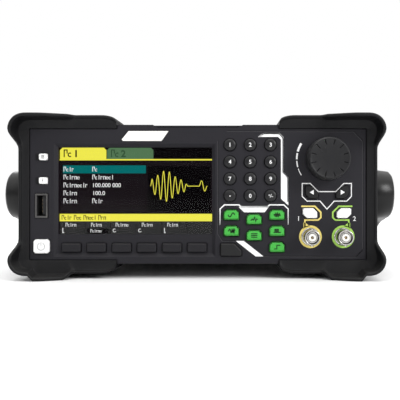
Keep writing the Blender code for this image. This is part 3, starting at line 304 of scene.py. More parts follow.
def makeMetal(name, look):
    material, tree, shader = newMaterial(name)
    lines = useGroup(tree, drawnMetal, Color=look["color"], Roughness=look["roughness"],
                     Line_Scale=look.get("lineScale", 900.0), Line_Strength=look.get("lineStrength", 0.15))
    worn = useGroup(tree, wornEdges, Color=lines.outputs["Color"], Edge_Color=(0.9, 0.9, 0.88),
                    Wear=look.get("wear", 0.4), Edge_Width=0.25 * mm)
    bump = addNode(tree, "ShaderNodeBump", Strength=0.15, Distance=0.02 * mm)
    tree.links.new(lines.outputs["Height"], bump.inputs["Height"])
    tree.links.new(worn.outputs["Color"], shader.inputs["Base Color"])
    tree.links.new(lines.outputs["Roughness"], shader.inputs["Roughness"])
    tree.links.new(bump.outputs["Normal"], shader.inputs["Normal"])
    shader.inputs["Metallic"].default_value = 1.0
    return material


def makeLit(name, color, strength=1.0):
    # a patch of the lit display
    material, tree, shader = newMaterial(name)
    grid = useGroup(tree, displayGrid, Color=color, Pitch=0.2 * mm, Grid=0.12)
    shader.inputs["Base Color"].default_value = (0.001, 0.001, 0.001, 1)
    shader.inputs["Roughness"].default_value = 0.6
    shader.inputs["Specular IOR Level"].default_value = 0.0
    tree.links.new(grid.outputs["Color"], shader.inputs["Emission Color"])
    shader.inputs["Emission Strength"].default_value = strength
    return material


def makeGlass(name, look):
    material, tree, shader = newMaterial(name)
    grain = useGroup(tree, mouldedGrain, Color=look["color"], Color_Drift=0.02, Roughness=look["roughness"],
                     Gloss_Drift=0.02, Grain_Scale=400.0)
    tree.links.new(grain.outputs["Color"], shader.inputs["Base Color"])
    tree.links.new(grain.outputs["Roughness"], shader.inputs["Roughness"])
    shader.inputs["Transmission Weight"].default_value = 1.0
    shader.inputs["IOR"].default_value = look["ior"]
    return material


solidLooks = {
    "frontPlastic": {"color": tone(30, 29, 34), "roughness": 0.6, "specular": 0.22, "grainScale": 2600.0,
                     "grainStrength": 0.35, "grainDepth": 0.05, "wear": 0.25, "dust": 0.05},
    "bootRubber": {"color": tone(15, 15, 17), "roughness": 0.55, "specular": 0.2, "grainScale": 1500.0,
                   "grainStrength": 0.4, "grainDepth": 0.07, "wear": 0.2, "dust": 0.08, "edgeWidth": 0.9},
    "handlePlastic": {"color": tone(8, 8, 9), "roughness": 0.32, "specular": 0.24, "grainScale": 1800.0,
                      "grainStrength": 0.2, "wear": 0.2, "edgeWidth": 0.9},
    "gripRubber": {"color": tone(24, 24, 25), "roughness": 0.75, "specular": 0.25, "grainScale": 1300.0,
                   "grainStrength": 0.5, "grainDepth": 0.09},
    "coverPaint": {"color": tone(142, 143, 145), "roughness": 0.66, "specular": 0.25, "grainScale": 1400.0,
                   "grainStrength": 0.5, "grainDepth": 0.08, "wear": 0.25, "drift": 0.05,
                   "edgeColor": tone(185, 185, 184)},
    "rearPaint": {"color": tone(138, 139, 141), "roughness": 0.46, "specular": 0.4, "grainScale": 1500.0,
                  "grainStrength": 0.45, "grainDepth": 0.06, "drift": 0.05, "edgeColor": tone(195, 195, 194)},
    "softKeyPlastic": {"color": tone(27, 26, 30), "roughness": 0.52, "specular": 0.22},
    "darkKeyPlastic": {"color": tone(28, 28, 29), "roughness": 0.5, "specular": 0.22, "grainStrength": 0.2},
    "numberKeyPlastic": {"color": tone(22, 22, 24), "roughness": 0.34, "specular": 0.3,
                         "grainStrength": 0.15},
    "greenKeyPlastic": {"color": tone(62, 166, 62), "roughness": 0.42, "specular": 0.3, "drift": 0.05,
                        "grainStrength": 0.15, "edgeColor": tone(120, 200, 116)},
    "whiteKeyPlastic": {"color": tone(244, 244, 243), "roughness": 0.4, "specular": 0.35, "drift": 0.03,
                        "grainStrength": 0.12, "edgeColor": (0.95, 0.95, 0.94)},
    "knobPlastic": {"color": tone(25, 25, 27), "roughness": 0.42, "specular": 0.26, "grainScale": 2200.0,
                    "grainStrength": 0.3},
    "blackPlastic": {"color": tone(24, 24, 25), "roughness": 0.5, "specular": 0.35},
    "whiteInk": {"color": tone(240, 240, 240), "roughness": 0.55, "specular": 0.25, "drift": 0.04,
                 "wear": 0.0},
    "badgeInk": {"color": tone(236, 234, 230), "roughness": 0.4, "specular": 0.35, "drift": 0.03},
    "yellowInk": {"color": tone(224, 205, 116), "roughness": 0.5, "specular": 0.25, "drift": 0.05,
                  "wear": 0.0},
    "greenInk": {"color": tone(158, 202, 90), "roughness": 0.5, "specular": 0.25, "drift": 0.05,
                 "wear": 0.0},
    "greyInk": {"color": tone(176, 177, 178), "roughness": 0.55, "specular": 0.25, "wear": 0.0},
    # painted highlight: the lit edge beside the panel's groove lines
    "paintedHighlight": {"color": tone(66, 65, 69), "roughness": 0.5, "specular": 0.3, "wear": 0.0},
    "insulatorWhite": {"color": tone(236, 235, 230), "roughness": 0.35, "specular": 0.4, "drift": 0.03},
    "circuitGreen": {"color": tone(28, 84, 52), "roughness": 0.35, "specular": 0.45, "drift": 0.3,
                     "grainScale": 500.0, "coat": 0.3},
    "displayBack": {"color": tone(10, 10, 11), "roughness": 0.4, "specular": 0.3, "wear": 0.0},
    "keySignInk": {"color": tone(8, 34, 10), "roughness": 0.5, "specular": 0.25, "wear": 0.0},
    "legendInk": {"color": tone(52, 52, 54), "roughness": 0.5, "specular": 0.25, "wear": 0.0},
    # painted shade: the dark inside the panel's grooves and the shadows beside the P and ? keys
    "paintedShade": {"color": tone(24, 24, 26), "roughness": 0.7, "specular": 0.15, "wear": 0.0},
}
metalLooks = {
    "portSteel": {"color": (0.07, 0.07, 0.075), "roughness": 0.34, "lineScale": 500.0, "wear": 0.2},
    "connectorNickel": {"color": (0.60, 0.59, 0.57), "roughness": 0.24, "lineScale": 700.0},
    "screwSteel": {"color": (0.50, 0.50, 0.50), "roughness": 0.32, "lineScale": 1500.0},
    "plainSteel": {"color": (0.42, 0.42, 0.43), "roughness": 0.38, "lineScale": 500.0, "lineStrength": 0.25},
    "contactGold": {"color": (0.62, 0.42, 0.20), "roughness": 0.3},
}
litLooks = {
    "litYellow": tone(247, 239, 80), "litGreenGrey": tone(84, 119, 84), "litTeal": tone(0, 107, 107),
    "litWhite": tone(238, 238, 238), "litBlack": tone(2, 1, 2), "litGround": tone(20, 14, 18),
    "litBar": tone(43, 43, 43), "litDarkText": tone(30, 30, 16), "litTabText": tone(52, 82, 54),
}
finish = {name: makeSolid(name, look) for name, look in solidLooks.items()}
finish.update({name: makeMetal(name, look) for name, look in metalLooks.items()})
finish.update({name: makeLit(name, color) for name, color in litLooks.items()})
windowLook = {"color": (0.97, 0.98, 0.98), "roughness": 0.03, "ior": 1.13}
finish["windowGlass"] = makeGlass("windowGlass", windowLook)
print("finishes made:", len(finish))


# mesh makers

def addPiece(name, bm, material, body, replaced=(), sharp=35):
    bmesh.ops.recalc_face_normals(bm, faces=bm.faces)
    mesh = bpy.data.meshes.new(name)
    bm.to_mesh(mesh)
    bm.free()
    mesh.materials.append(finish[material])
    if sharp:
        mesh.shade_smooth()
        mesh.set_sharp_from_angle(angle=math.radians(sharp))
    else:
        mesh.shade_flat()
    obj = bpy.data.objects.new(name, mesh)
    scene.collection.objects.link(obj)
    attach(obj, body)
    if replaced:
        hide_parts(*replaced)
    return obj


def roundEdges(obj, width, segments=2, angle=35):
    bevel = obj.modifiers.new("roundedEdges", "BEVEL")
    bevel.width = width * mm
    bevel.segments = segments
    bevel.limit_method = "ANGLE"
    bevel.angle_limit = math.radians(angle)
    bevel.use_clamp_overlap = False
    bevel.harden_normals = True
    return obj


def cleanCopy(node, wholeFaces):
    # the node's own shape, ready for rounded edges; wholeFaces joins the triangles of faces without holes
    bm = bmesh.new()
    bm.from_mesh(frame["nodes"][node].data)
    bmesh.ops.remove_doubles(bm, verts=bm.verts, dist=0.004 * mm)
    if wholeFaces:
        bmesh.ops.dissolve_limit(bm, angle_limit=math.radians(0.6), verts=bm.verts, edges=bm.edges)
    return bm


def refine(name, node, material, width, segments=2, angle=35):
    piece = addPiece(name, cleanCopy(node, True), material, bodyOf[node], [node])
    return roundEdges(piece, width, segments, angle)


def joinInto(target, source):
    mesh = bpy.data.meshes.new("scratch")
    source.to_mesh(mesh)
    source.free()
    target.from_mesh(mesh)
    bpy.data.meshes.remove(mesh)


def box(low, high):
    # closed box between two corners, each (x, depth, z) in millimetres
    bm = bmesh.new()
    bmesh.ops.create_cube(bm, size=1.0)
    first, second = at(*low), at(*high)
    for vert in bm.verts:
        vert.co = Vector(first[i] + (second[i] - first[i]) * (vert.co[i] + 0.5) for i in range(3))
    return bm


def plate(outline, depth, thick):
    # flat plate from an outline of (x, z), its front at that depth
    bm = bmesh.new()
    front = [bm.verts.new(at(x, depth, z)) for x, z in outline]
    back = [bm.verts.new(at(x, depth + thick, z)) for x, z in outline]
    bm.faces.new(front)
    bm.faces.new(list(reversed(back)))
    for i in range(len(outline)):
        j = (i + 1) % len(outline)
        bm.faces.new((front[i], back[i], back[j], front[j]))
    return bm


def ribbon(points, width, depth, thick, closed=False):
    # flat line with mitred corners; width is one number or one for each point
    count = len(points)
    widths = width if isinstance(width, (list, tuple)) else [width] * count
    sides = ([], [])
    for i, point in enumerate(points):
        here = Vector(point)
        ahead = Vector(points[(i + 1) % count]) - here if closed or i < count - 1 else None
        behind = here - Vector(points[i - 1]) if closed or i > 0 else ahead
        ahead = (ahead if ahead is not None else behind).normalized()
        behind = behind.normalized()
        across = Vector((-(ahead + behind).y, (ahead + behind).x)).normalized()
        reach = widths[i] / 2 / max(across.dot(Vector((-ahead.y, ahead.x))), 0.35)
        sides[0].append(here + across * reach)
        sides[1].append(here - across * reach)
    bm = bmesh.new()
    depths = (depth, depth + thick)
    layers = [[[bm.verts.new(at(p.x, d, p.y)) for p in side] for side in sides] for d in depths]
    (frontLeft, frontRight), (backLeft, backRight) = layers
    for i in range(count if closed else count - 1):
        j = (i + 1) % count
        bm.faces.new((frontLeft[i], frontRight[i], frontRight[j], frontLeft[j]))
        bm.faces.new((backLeft[i], backLeft[j], backRight[j], backRight[i]))
        bm.faces.new((frontLeft[i], frontLeft[j], backLeft[j], backLeft[i]))
        bm.faces.new((frontRight[i], backRight[i], backRight[j], frontRight[j]))
    if not closed:
        bm.faces.new((frontLeft[0], backLeft[0], backRight[0], frontRight[0]))
        bm.faces.new((frontLeft[-1], frontRight[-1], backRight[-1], backLeft[-1]))
    return bm


def arc(centre, radius, start, stop, steps):
    angles = [math.radians(start + (stop - start) * i / steps) for i in range(steps + 1)]
    return [(centre[0] + radius * math.cos(a), centre[1] + radius * math.sin(a)) for a in angles]


def ring(centre, radius, width, depth, thick, steps=48):
    return ribbon(arc(centre, radius, 0, 360 - 360 / steps, steps - 1), width, depth, thick, closed=True)


def loft(rings, closedEnds=True):
    # skin through rings of world points; each ring is a closed outline
    bm = bmesh.new()
    rows = [[bm.verts.new(point) for point in row] for row in rings]
    for first, second in zip(rows, rows[1:]):
        for i in range(len(first)):
            j = (i + 1) % len(first)
            bm.faces.new((first[i], first[j], second[j], second[i]))
    if closedEnds:
        bm.faces.new(list(reversed(rows[0])))
        bm.faces.new(rows[-1])
    return bm


def turned(profile, centre, axis="Y", steps=48, wave=None):
    # profile of (radius, distance along the axis) turned round the axis; first and last radius may be 0
    directions = {"Y": (Vector((1, 0, 0)), Vector((0, 0, 1)), Vector((0, 1, 0))),
                  "X": (Vector((0, 1, 0)), Vector((0, 0, 1)), Vector((1, 0, 0))),
                  "Z": (Vector((1, 0, 0)), Vector((0, 1, 0)), Vector((0, 0, 1)))}
    right, up, along = directions[axis]
    bm = bmesh.new()
    rows = []
    for radius, distance in profile:
        if radius == 0:
            rows.append([bm.verts.new(centre + along * distance * mm)])
            continue
        row = []
        for i in range(steps):
            angle = 2 * math.pi * i / steps
            r, d = wave(radius, distance, angle) if wave else (radius, distance)
            row.append(bm.verts.new(centre + (right * math.cos(angle) + up * math.sin(angle)) * r * mm
                                    + along * d * mm))
        rows.append(row)
    for first, second in zip(rows, rows[1:]):
        for i in range(steps):
            j = (i + 1) % steps
            corners = [row[k % len(row)] for row, k in ((first, i), (first, j), (second, j), (second, i))]
            unique = list(dict.fromkeys(corners))
            if len(unique) > 2:
                bm.faces.new(unique)
    return bm


def textPiece(name, text, centre, height, material, body, depth, thick=0.06, weight=0.02):
    # generic figures and signs, set flat on a face
    curve = bpy.data.curves.new(name, "FONT")
    curve.body = text
    curve.offset = weight
    curve.resolution_u = 4
    carrier = bpy.data.objects.new(name + "_curve", curve)
    scene.collection.objects.link(carrier)
    bpy.context.view_layer.update()
    mesh = bpy.data.meshes.new_from_object(carrier.evaluated_get(bpy.context.evaluated_depsgraph_get()))
    bpy.data.objects.remove(carrier)
    bm = bmesh.new()
    bm.from_mesh(mesh)
    bpy.data.meshes.remove(mesh)
    lowX, highX = (pick(v.co.x for v in bm.verts) for pick in (min, max))
    lowY, highY = (pick(v.co.y for v in bm.verts) for pick in (min, max))
    scale = height / max(highY - lowY, 0.3)
    for vert in bm.verts:
        x = (vert.co.x - (lowX + highX) / 2) * scale + centre[0]
        z = (vert.co.y - (lowY + highY) / 2) * scale + centre[1]
        vert.co = at(x, depth, z)
    bmesh.ops.recalc_face_normals(bm, faces=bm.faces)
    grown = bmesh.ops.extrude_face_region(bm, geom=list(bm.faces))
    moved = [g for g in grown["geom"] if isinstance(g, bmesh.types.BMVert)]
    bmesh.ops.translate(bm, verts=moved, vec=(0, thick * mm, 0))
    return addPiece(name, bm, material, body)


def cutAway(obj, cutter):
    # take the cutter's space out of a piece for good
    bmesh.ops.recalc_face_normals(cutter, faces=cutter.faces)
    mesh = bpy.data.meshes.new("cutter")
    cutter.to_mesh(mesh)
    cutter.free()
    tool = bpy.data.objects.new("cutter", mesh)
    scene.collection.objects.link(tool)
    modifier = obj.modifiers.new("cut", "BOOLEAN")
    modifier.operation = "DIFFERENCE"
    modifier.solver = "EXACT"
    modifier.object = tool
    bpy.context.view_layer.update()
    result = bpy.data.meshes.new_from_object(obj.evaluated_get(bpy.context.evaluated_depsgraph_get()))
    obj.modifiers.remove(modifier)
    bpy.data.objects.remove(tool)
    obj.data = result


# front frame
addPiece("frontFrame", cleanCopy("front_bezel", False), "frontPlastic", "root",
         ["front_bezel"], sharp=0)
print("front frame made")

# rubber boots, millimetres from the panel's centre
bootLook = {
    "endX": 51.5, "ramp": 10.0, "halfW": 113.7, "top": 50.2, "cornerR": 10.0, "bulge": 2.6,
    "bulgeReach": 18.7, "lipThick": 2.2, "hollow": 1.2, "lipStart": 36.2, "lipFull": 13.7, "endRamp": 4.5,
    "endShare": 0.45, "tipDrop": 21.2, "fullDrop": 10.2, "footDrop": 3.3, "footOut": 12.7,
    "footLength": 16.5, "footSlopeIn": 5.5, "footSlopeOut": 3.2, "edgeRound": 0.9,
    "caseHalfW": 110.5, "caseTop": 45.6, "caseBottom": 44.2, "caseCornerR": 5.0, "gap": 0.3,
    "hubR": (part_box("handle_arm_left")[1].z - panelMiddle) / mm,
    "stations": {"top": 44, "upperCorner": 16, "side": 40, "lowerCorner": 16, "bottom": 48},
}


def smoothStep(value):
    value = min(max(value, 0.0), 1.0)
    return value * value * (3 - 2 * value)


def cornerPath(stretch, share, halfW, top, bottom, radius):
    # point on a rounded rectangle's right half, and the outward direction there
    if stretch in ("top", "bottom"):
        share = share if stretch == "top" else 1 - share
        x = bootLook["endX"] + share * (halfW - radius - bootLook["endX"])
        if stretch == "top":
            return Vector((x, top)), Vector((0, 1))
        return Vector((x, bottom)), Vector((0, -1))
    if stretch == "side":
        return Vector((halfW, top - radius - share * (top - bottom - 2 * radius))), Vector((1, 0))
    start, middle = (90, top - radius) if stretch == "upperCorner" else (0, bottom + radius)
    angle = math.radians(start - 90 * share)
    out = Vector((math.cos(angle), math.sin(angle)))
    return Vector((halfW - radius, middle)) + out * radius, out


def bootSection(stretch, share, kind):
    # closed section of the boot at one station: (x, depth, z), depth 0 at the end face
    b = bootLook
    outer, out = cornerPath(stretch, share, b["halfW"], b["top"], -b["top"], b["cornerR"])
    inner, _ = cornerPath(stretch, share, kind["innerW"], kind["innerH"], -kind["innerH"], 0.6)
    case, _ = cornerPath(stretch, share, b["caseHalfW"] + b["gap"], b["caseTop"] + b["gap"],
                         -b["caseBottom"] - b["gap"], b["caseCornerR"])
    tipZ = b["top"] - b["tipDrop"]
    cornerShare = smoothStep((abs(outer.y) - tipZ) / (b["tipDrop"] - b["fullDrop"]))
    bulgeShare = smoothStep((outer.x - b["halfW"] + b["bulgeReach"]) / (0.8 * b["bulgeReach"]))
    outer.x += b["bulge"] * cornerShare * bulgeShare
    if stretch in ("top", "bottom"):
        fromStart = outer.x - b["halfW"] + b["lipStart"]
        growth = b["endShare"] + (1 - b["endShare"]) * smoothStep(fromStart / (b["lipStart"] - b["lipFull"]))
        lipShare = growth * smoothStep(fromStart / b["endRamp"])
        ramp = (outer.x - b["endX"]) / b["ramp"]
        if ramp < 1:
            low = abs(case.y) + 0.6
            swell = math.sqrt(max(1 - (1 - ramp) ** 2, 0.0))
            outer.y = math.copysign(low + (abs(outer.y) - low) * swell, outer.y)
    else:
        lipShare = cornerShare
    if stretch == "bottom":
        footOutX = b["halfW"] - b["footOut"]
        footInX = footOutX - b["footLength"]
        intoFoot = (outer.x - footInX + b["footSlopeIn"]) / b["footSlopeIn"]
        outOfFoot = (footOutX + b["footSlopeOut"] - outer.x) / b["footSlopeOut"]
        outer.y -= b["footDrop"] * min(smoothStep(intoFoot), smoothStep(outOfFoot))
    lip, edge = kind["lip"], kind["edge"]
    tip = -edge - (lip - edge) * lipShare
    thick = min(b["lipThick"], (outer - inner).length * 0.6)
    lipInner = outer - out * thick
    hollow = outer - out * (thick + b["hollow"])
    if (hollow - inner).dot(out) < b["gap"]:
        hollow = inner + (lipInner - inner) * 0.5
    pastHub = (abs(outer.y) - b["hubR"]) / (tipZ - b["hubR"]) - 0.6
    skirt = kind["waistSkirt"] + (kind["skirt"] - kind["waistSkirt"]) * smoothStep(pastHub / 0.6)
    inside = [(inner, -edge * 0.4), (hollow, tip * 0.18 - edge * 0.82 * (1 - lipShare) * 0.5)]
    # the lip's inner face is a soft curve from the foot to the rounded rim
    for along in (0.25, 0.5, 0.75):
        start, stop = inside[1][1], tip * 0.88 - edge * 0.12
        depth = start + (stop - start) * along
        sway = hollow + (lipInner - hollow) * (1 - (1 - along) ** 2.2)
        inside.append((sway, depth))
    rim = []
    for step in range(7):
        angle = math.pi * step / 6
        middle = outer - out * (thick / 2)
        rim.append((middle - out * (thick / 2) * math.cos(angle), tip + thick / 2 * (1 - math.sin(angle))))
    edgeRound = b["edgeRound"]
    skirtRim = [(outer - out * edgeRound * (1 - math.cos(math.radians(a))),
                 skirt - edgeRound + edgeRound * math.sin(math.radians(a))) for a in (0, 30, 60, 90)]
    section = inside + rim + [(outer, max(tip + 3 * edgeRound, -edge))] + skirtRim
    section += [(case, skirt), (case, kind["step"]), (inner, kind["step"])]
    return [(point.x, depth, point.y) for point, depth in section]


def makeBoot(name, node, kind, mirror, atRear):
    rings = []
    for stretch, count in bootLook["stations"].items():
        first = 0 if stretch == "top" else 1
        for i in range(first, count + 1):
            row = []
            for x, depth, z in bootSection(stretch, i / count, kind):
                point = at(-x if mirror else x, depth, z)
                if atRear:
                    point.y = rearFace - depth * mm
                row.append(point)
            rings.append(row)
    addPiece(name, loft(rings), "bootRubber", "root", [node], sharp=40)


frontKind = {"lip": 14.0, "edge": 1.6, "innerW": 106.8, "innerH": 41.7, "step": 17.1,
             "skirt": 32.0, "waistSkirt": 23.6}
rearKind = {"lip": 12.0, "edge": 3.4, "innerW": 106.5, "innerH": 41.4, "step": -0.3,
            "skirt": 24.0, "waistSkirt": 16.0}
for side, mirror in (("left", True), ("right", False)):
    makeBoot(f"frontBoot_{side}", f"front_bumper_{side}", frontKind, mirror, False)
    makeBoot(f"rearBoot_{side}", f"rear_bumper_{side}", rearKind, mirror, True)
print("boots made")


# keys: each rides on the body of its own name
keyLook = {"edge": 0.28, "greenEdge": 0.6, "print": 0.05, "figure": 2.6, "domeR": 3.8, "domeRise": 1.1,
           "flangeR": 4.5}


def makeKey(node, material):
    width = keyLook["greenEdge" if material == "greenKeyPlastic" else "edge"]
    return refine(node + "_cap", node, material, width, 3, 30)


def onKey(node, points, width, label, material="whiteInk", closed=False, fill=False):
    # print on a key's face, points from the key's middle
    x, z, face = middleOf(node)
    moved = [(x + px, z + pz) for px, pz in points]
    depth = face - keyLook["print"]
    if fill:
        bm = plate(moved, depth, keyLook["print"])
    else:
        bm = ribbon(moved, width, depth, keyLook["print"], closed)
    addPiece(f"{node}_{label}", bm, material, node)


def makeDomeKey(node):
    # round key with a domed face and the flange that keeps it in its hole
    x, z, face = middleOf(node)
    back = backOf(node)
    radius, rise = keyLook["domeR"], keyLook["domeRise"]
    profile = [(0, face)]
    for step in range(1, 9):
        lean = math.radians(90 * step / 8)
        profile.append((radius * math.sin(lean) ** 0.8, face + rise * (1 - math.cos(lean))))
    profile += [(radius, face + rise + 0.3), (radius, back - 1.0), (keyLook["flangeR"], back - 1.0),
                (keyLook["flangeR"], back), (0, back)]
    cap = turned(profile, at(x, 0, z), "Y", 40)
    addPiece(node + "_cap", cap, "numberKeyPlastic", node, [node])


for number in range(1, 7):
    makeKey(f"soft_key_{number}", "softKeyPlastic")
for label in [str(n) for n in range(10)] + ["point", "sign"]:
    node = "key_" + label
    makeDomeKey(node)
    x, z, face = middleOf(node)
    if label == "point":
        onKey(node, [(-0.35, -0.5), (0.35, -0.5), (0.35, 0.2), (-0.35, 0.2)], 0, "dot", fill=True)
    elif label == "sign":
        onKey(node, [(-1.5, 0.4), (-0.3, 0.4)], 0.34, "plusAcross")
        onKey(node, [(-0.9, -0.2), (-0.9, 1.0)], 0.34, "plusUp")
        onKey(node, [(-0.4, -1.1), (0.5, 1.1)], 0.3, "slash")
        onKey(node, [(0.4, -0.5), (1.5, -0.5)], 0.34, "minus")
    else:
        textPiece(node + "_figure", label, (x, z), keyLook["figure"], "whiteInk", node,
                  face - keyLook["print"], keyLook["print"])

greenSigns = {          # small generic wave and setting signs, millimetres from the key's middle
    "sine_key": [[(x, 1.3 * math.sin(x * 1.5)) for x in [i * 0.35 - 2.1 for i in range(13)]]],
    "arb_key": [[(-2.2, -0.9), (-1.2, 0.2), (-0.5, -0.5), (0.3, 1.3), (0.9, -1.2), (1.5, 0.3), (2.2, -0.2)]],
    "mod_key": [[(i * 0.22 - 2.2, 1.4 * math.sin(i * 0.157) * math.sin(i * 1.3)) for i in range(21)]],
    "sweep_key": [[(i * 0.2 - 2.2, 1.2 * math.sin(0.045 * i * i)) for i in range(23)]],
    "utility_key": [[(-2.0, 1.1), (2.0, 1.1)], [(-2.0, 0.0), (2.0, 0.0)], [(-2.0, -1.1), (2.0, -1.1)]],
    "burst_key": [[(-2.3, -0.9), (-1.4, -0.9), (-1.4, 1.1), (-0.7, 1.1), (-0.7, -0.9), (0.0, -0.9),
                   (0.0, 1.1), (0.7, 1.1), (0.7, -0.9), (2.3, -0.9)]],
    "trigger_key": [[(-2.0, -1.1), (-0.2, -1.1), (-0.2, 1.2), (2.0, 1.2)]],
}
for node, lines in greenSigns.items():
    makeKey(node, "greenKeyPlastic")
    for i, line in enumerate(lines):
        onKey(node, line, 0.62, f"sign{i}", "keySignInk")
makeKey("shift_key", "darkKeyPlastic")
for node, way in (("left_arrow_key", -1), ("right_arrow_key", 1)):
    makeKey(node, "darkKeyPlastic")
    onKey(node, [(way * 1.5, 0.0), (way * -1.1, 1.6), (way * -1.1, -1.6)], 0, "arrow", fill=True)
for node in ("output_1_key", "output_2_key", "parameter_key", "help_key", "power_key"):
    makeKey(node, "whiteKeyPlastic")
for i in range(3):
    onKey("parameter_key", [(-1.0, 0.8 - 0.8 * i), (1.0, 0.8 - 0.8 * i)], 0.42, f"bar{i}", "legendInk")
x, z, face = middleOf("help_key")
textPiece("help_key_sign", "?", (x, z), 2.5, "legendInk", "help_key",
          face - keyLook["print"], keyLook["print"], 0.005)
# dark plates to the left of the P and ? keys: painted shadow cast by the raised keys
for node in ("parameter_key", "help_key"):
    x, z, _ = middleOf(node)
    shadowOutline = [(x - 5.0, z - 2.1), (x - 2.9, z - 2.1), (x - 2.9, z + 2.1), (x - 5.0, z + 2.1)]
    paintedShadow = addPiece(node + "_pocket", plate(shadowOutline, -0.25, 0.25), "paintedShade", "root")
    roundEdges(paintedShadow, 0.1)
onKey("power_key", arc((0, 0), 2.3, 115, 425, 28), 0.42, "powerArc", "greyInk")
onKey("power_key", [(0, 0.4), (0, 3.0)], 0.42, "powerBar", "greyInk")
print("keys made")

# printed lines, plates and rings on the panel, and the painted shade and painted highlight of its groove
# lines
inkLook = {"thick": 0.05, "line": 0.6, "knobColumn": 81.7, "outputs": {"1": 63.8, "2": 99.2}}


def inkLine(name, points, width, material, closed=False):
    line = ribbon(points, width, -inkLook["thick"], inkLook["thick"], closed)
    addPiece(name, line, material, "root")


def inkPlate(name, outline, material, thick=None):
    thick = thick or inkLook["thick"]
    addPiece(name, plate(outline, -thick, thick), material, "root")


inkLine("printEdit", [(38.4, 36.4), (41.7, 38.4), (51.5, 38.4), (53.9, 35.8), (53.9, 14.0), (57.0, 10.9),
                      (57.0, -4.9)], 0.7, "whiteInk")
inkPlate("printEditTab", [(38.4, 36.4), (41.7, 38.8), (51.7, 38.8), (54.3, 36.2), (52.6, 34.7), (50.7, 36.4)],
         "whiteInk")
inkPlate("printEditTail", [(52.6, 34.7), (54.2, 36.2), (54.2, 14.1), (57.3, 11.0), (57.3, -7.0),
                           (52.6, -2.8)], "whiteInk")
inkLine("printFunction", [(14.0, -19.2), (14.0, -9.3), (16.8, -6.7), (26.1, -6.7), (27.2, -7.9), (44.3, -7.9),
                          (45.4, -6.7), (54.5, -6.7), (57.2, -9.3), (57.2, -19.2)],
        [0.25, 0.7, 0.8, 0.8, 0.8, 0.8, 0.8, 0.8, 0.7, 0.25], "whiteInk")
inkPlate("printFunctionTab", [(45.1, -7.7), (42.3, -11.4), (29.2, -11.4), (25.7, -7.9)], "whiteInk")
inkPlate("printStripe", [(23.9, -29.5), (29.0, -29.5), (41.6, -39.4), (36.6, -39.4)], "whiteInk")
inkPlate("badgePlate", [(-48.3, 34.8), (-44.0, 40.1), (-18.6, 40.1), (-23.1, 33.8), (-47.6, 33.8)],
         "badgeInk", thick=0.35)
edgeLines = {"Right": [(18.7, 40.2), (98.9, 39.9), (104.7, 33.8), (104.7, -34.9), (100.5, -39.4),
                       (41.3, -39.2)],
             "Left": [(13.0, 34.1), (13.0, -25.0), (15.9, -29.5), (24.1, -29.5)]}
# each groove: a dark line of painted shade, and beside it a lighter line of painted highlight on its lit edge
for label, points in edgeLines.items():
    inkLine("paintedGrooveShade" + label, points, 0.45, "paintedShade")
    inkLine("paintedGrooveHighlight" + label, [(x - 0.4, z - 0.35) for x, z in points], 0.3, "paintedHighlight")
knobX, knobZ, _ = middleOf("knob")
for i, (start, stop) in enumerate(((148, 165), (168, 180), (183, 195), (198, 212))):
    inkLine(f"knobDash{i}", arc((knobX, knobZ), 19.05, start, stop, 8), 1.4 - 0.3 * i, "whiteInk")
inkLine("printArrows", [(66.1, 6.9), (71.2, 6.9), (76.3, 1.7), (87.4, 1.7), (92.5, 6.9), (97.3, 6.9),
                        (97.3, -1.3), (94.4, -4.3), (86.4, -4.3), (81.8, -9.4), (77.4, -4.3),
                        (69.2, -4.3), (66.1, -1.3)], inkLook["line"], "whiteInk", closed=True)
channelLine = [(65.5, -7.6), (74.1, -7.6), (77.9, -11.4), (77.9, -14.7), (76.3, -16.3), (67.8, -16.3),
               (67.8, -20.9)]
for digit, way, node, ink, slotName in (("1", 1, "bnc_output_1", "yellowInk", "yellow_print"),
                                        ("2", -1, "bnc_output_2", "greenInk", "green_print")):
    middle = inkLook["knobColumn"]
    placed = [(middle + way * (x - middle), z) for x, z in channelLine]
    inkLine(f"channelLine{digit}", placed, 1.0, ink)
    x, z, _ = middleOf(node)
    addPiece(f"channelRing{digit}", ring((x, z), 6.45, 1.5, -inkLook["thick"], inkLook["thick"]), ink, "root")
    wedge = [(x - way * 4.4, z + 9.0), (x - way * 3.4, z + 9.0), (x - way * 0.4, z + 6.7),
             (x - way * 3.2, z + 5.9), (x - way * 4.4, z + 5.0)]
    inkPlate(f"channelWedge{digit}", wedge, ink)
    textPiece(f"channelFigure{digit}", digit, (inkLook["outputs"][digit], -15.4), 2.9, "whiteInk", "root",
              -inkLook["thick"], inkLook["thick"], 0.005)
print("panel print made")

# tuning knob: plain rim, twelve narrow grooves on the slope inside it, dished face
knobLook = {"grooves": 12, "inner": 8.7, "outer": 11.8, "cut": 0.75, "grooveWidth": 0.05, "steps": 480,
            "dimpleSize": 1.9}


def grooved(radius, distance, angle):
    if not knobLook["inner"] < radius < knobLook["outer"] or distance > -11.0:
        return radius, distance
    near = abs(math.remainder(angle - math.pi / 12, 2 * math.pi / knobLook["grooves"]))
    share = math.exp(-(near / knobLook["grooveWidth"] * 2) ** 4)
    return radius, distance + knobLook["cut"] * share


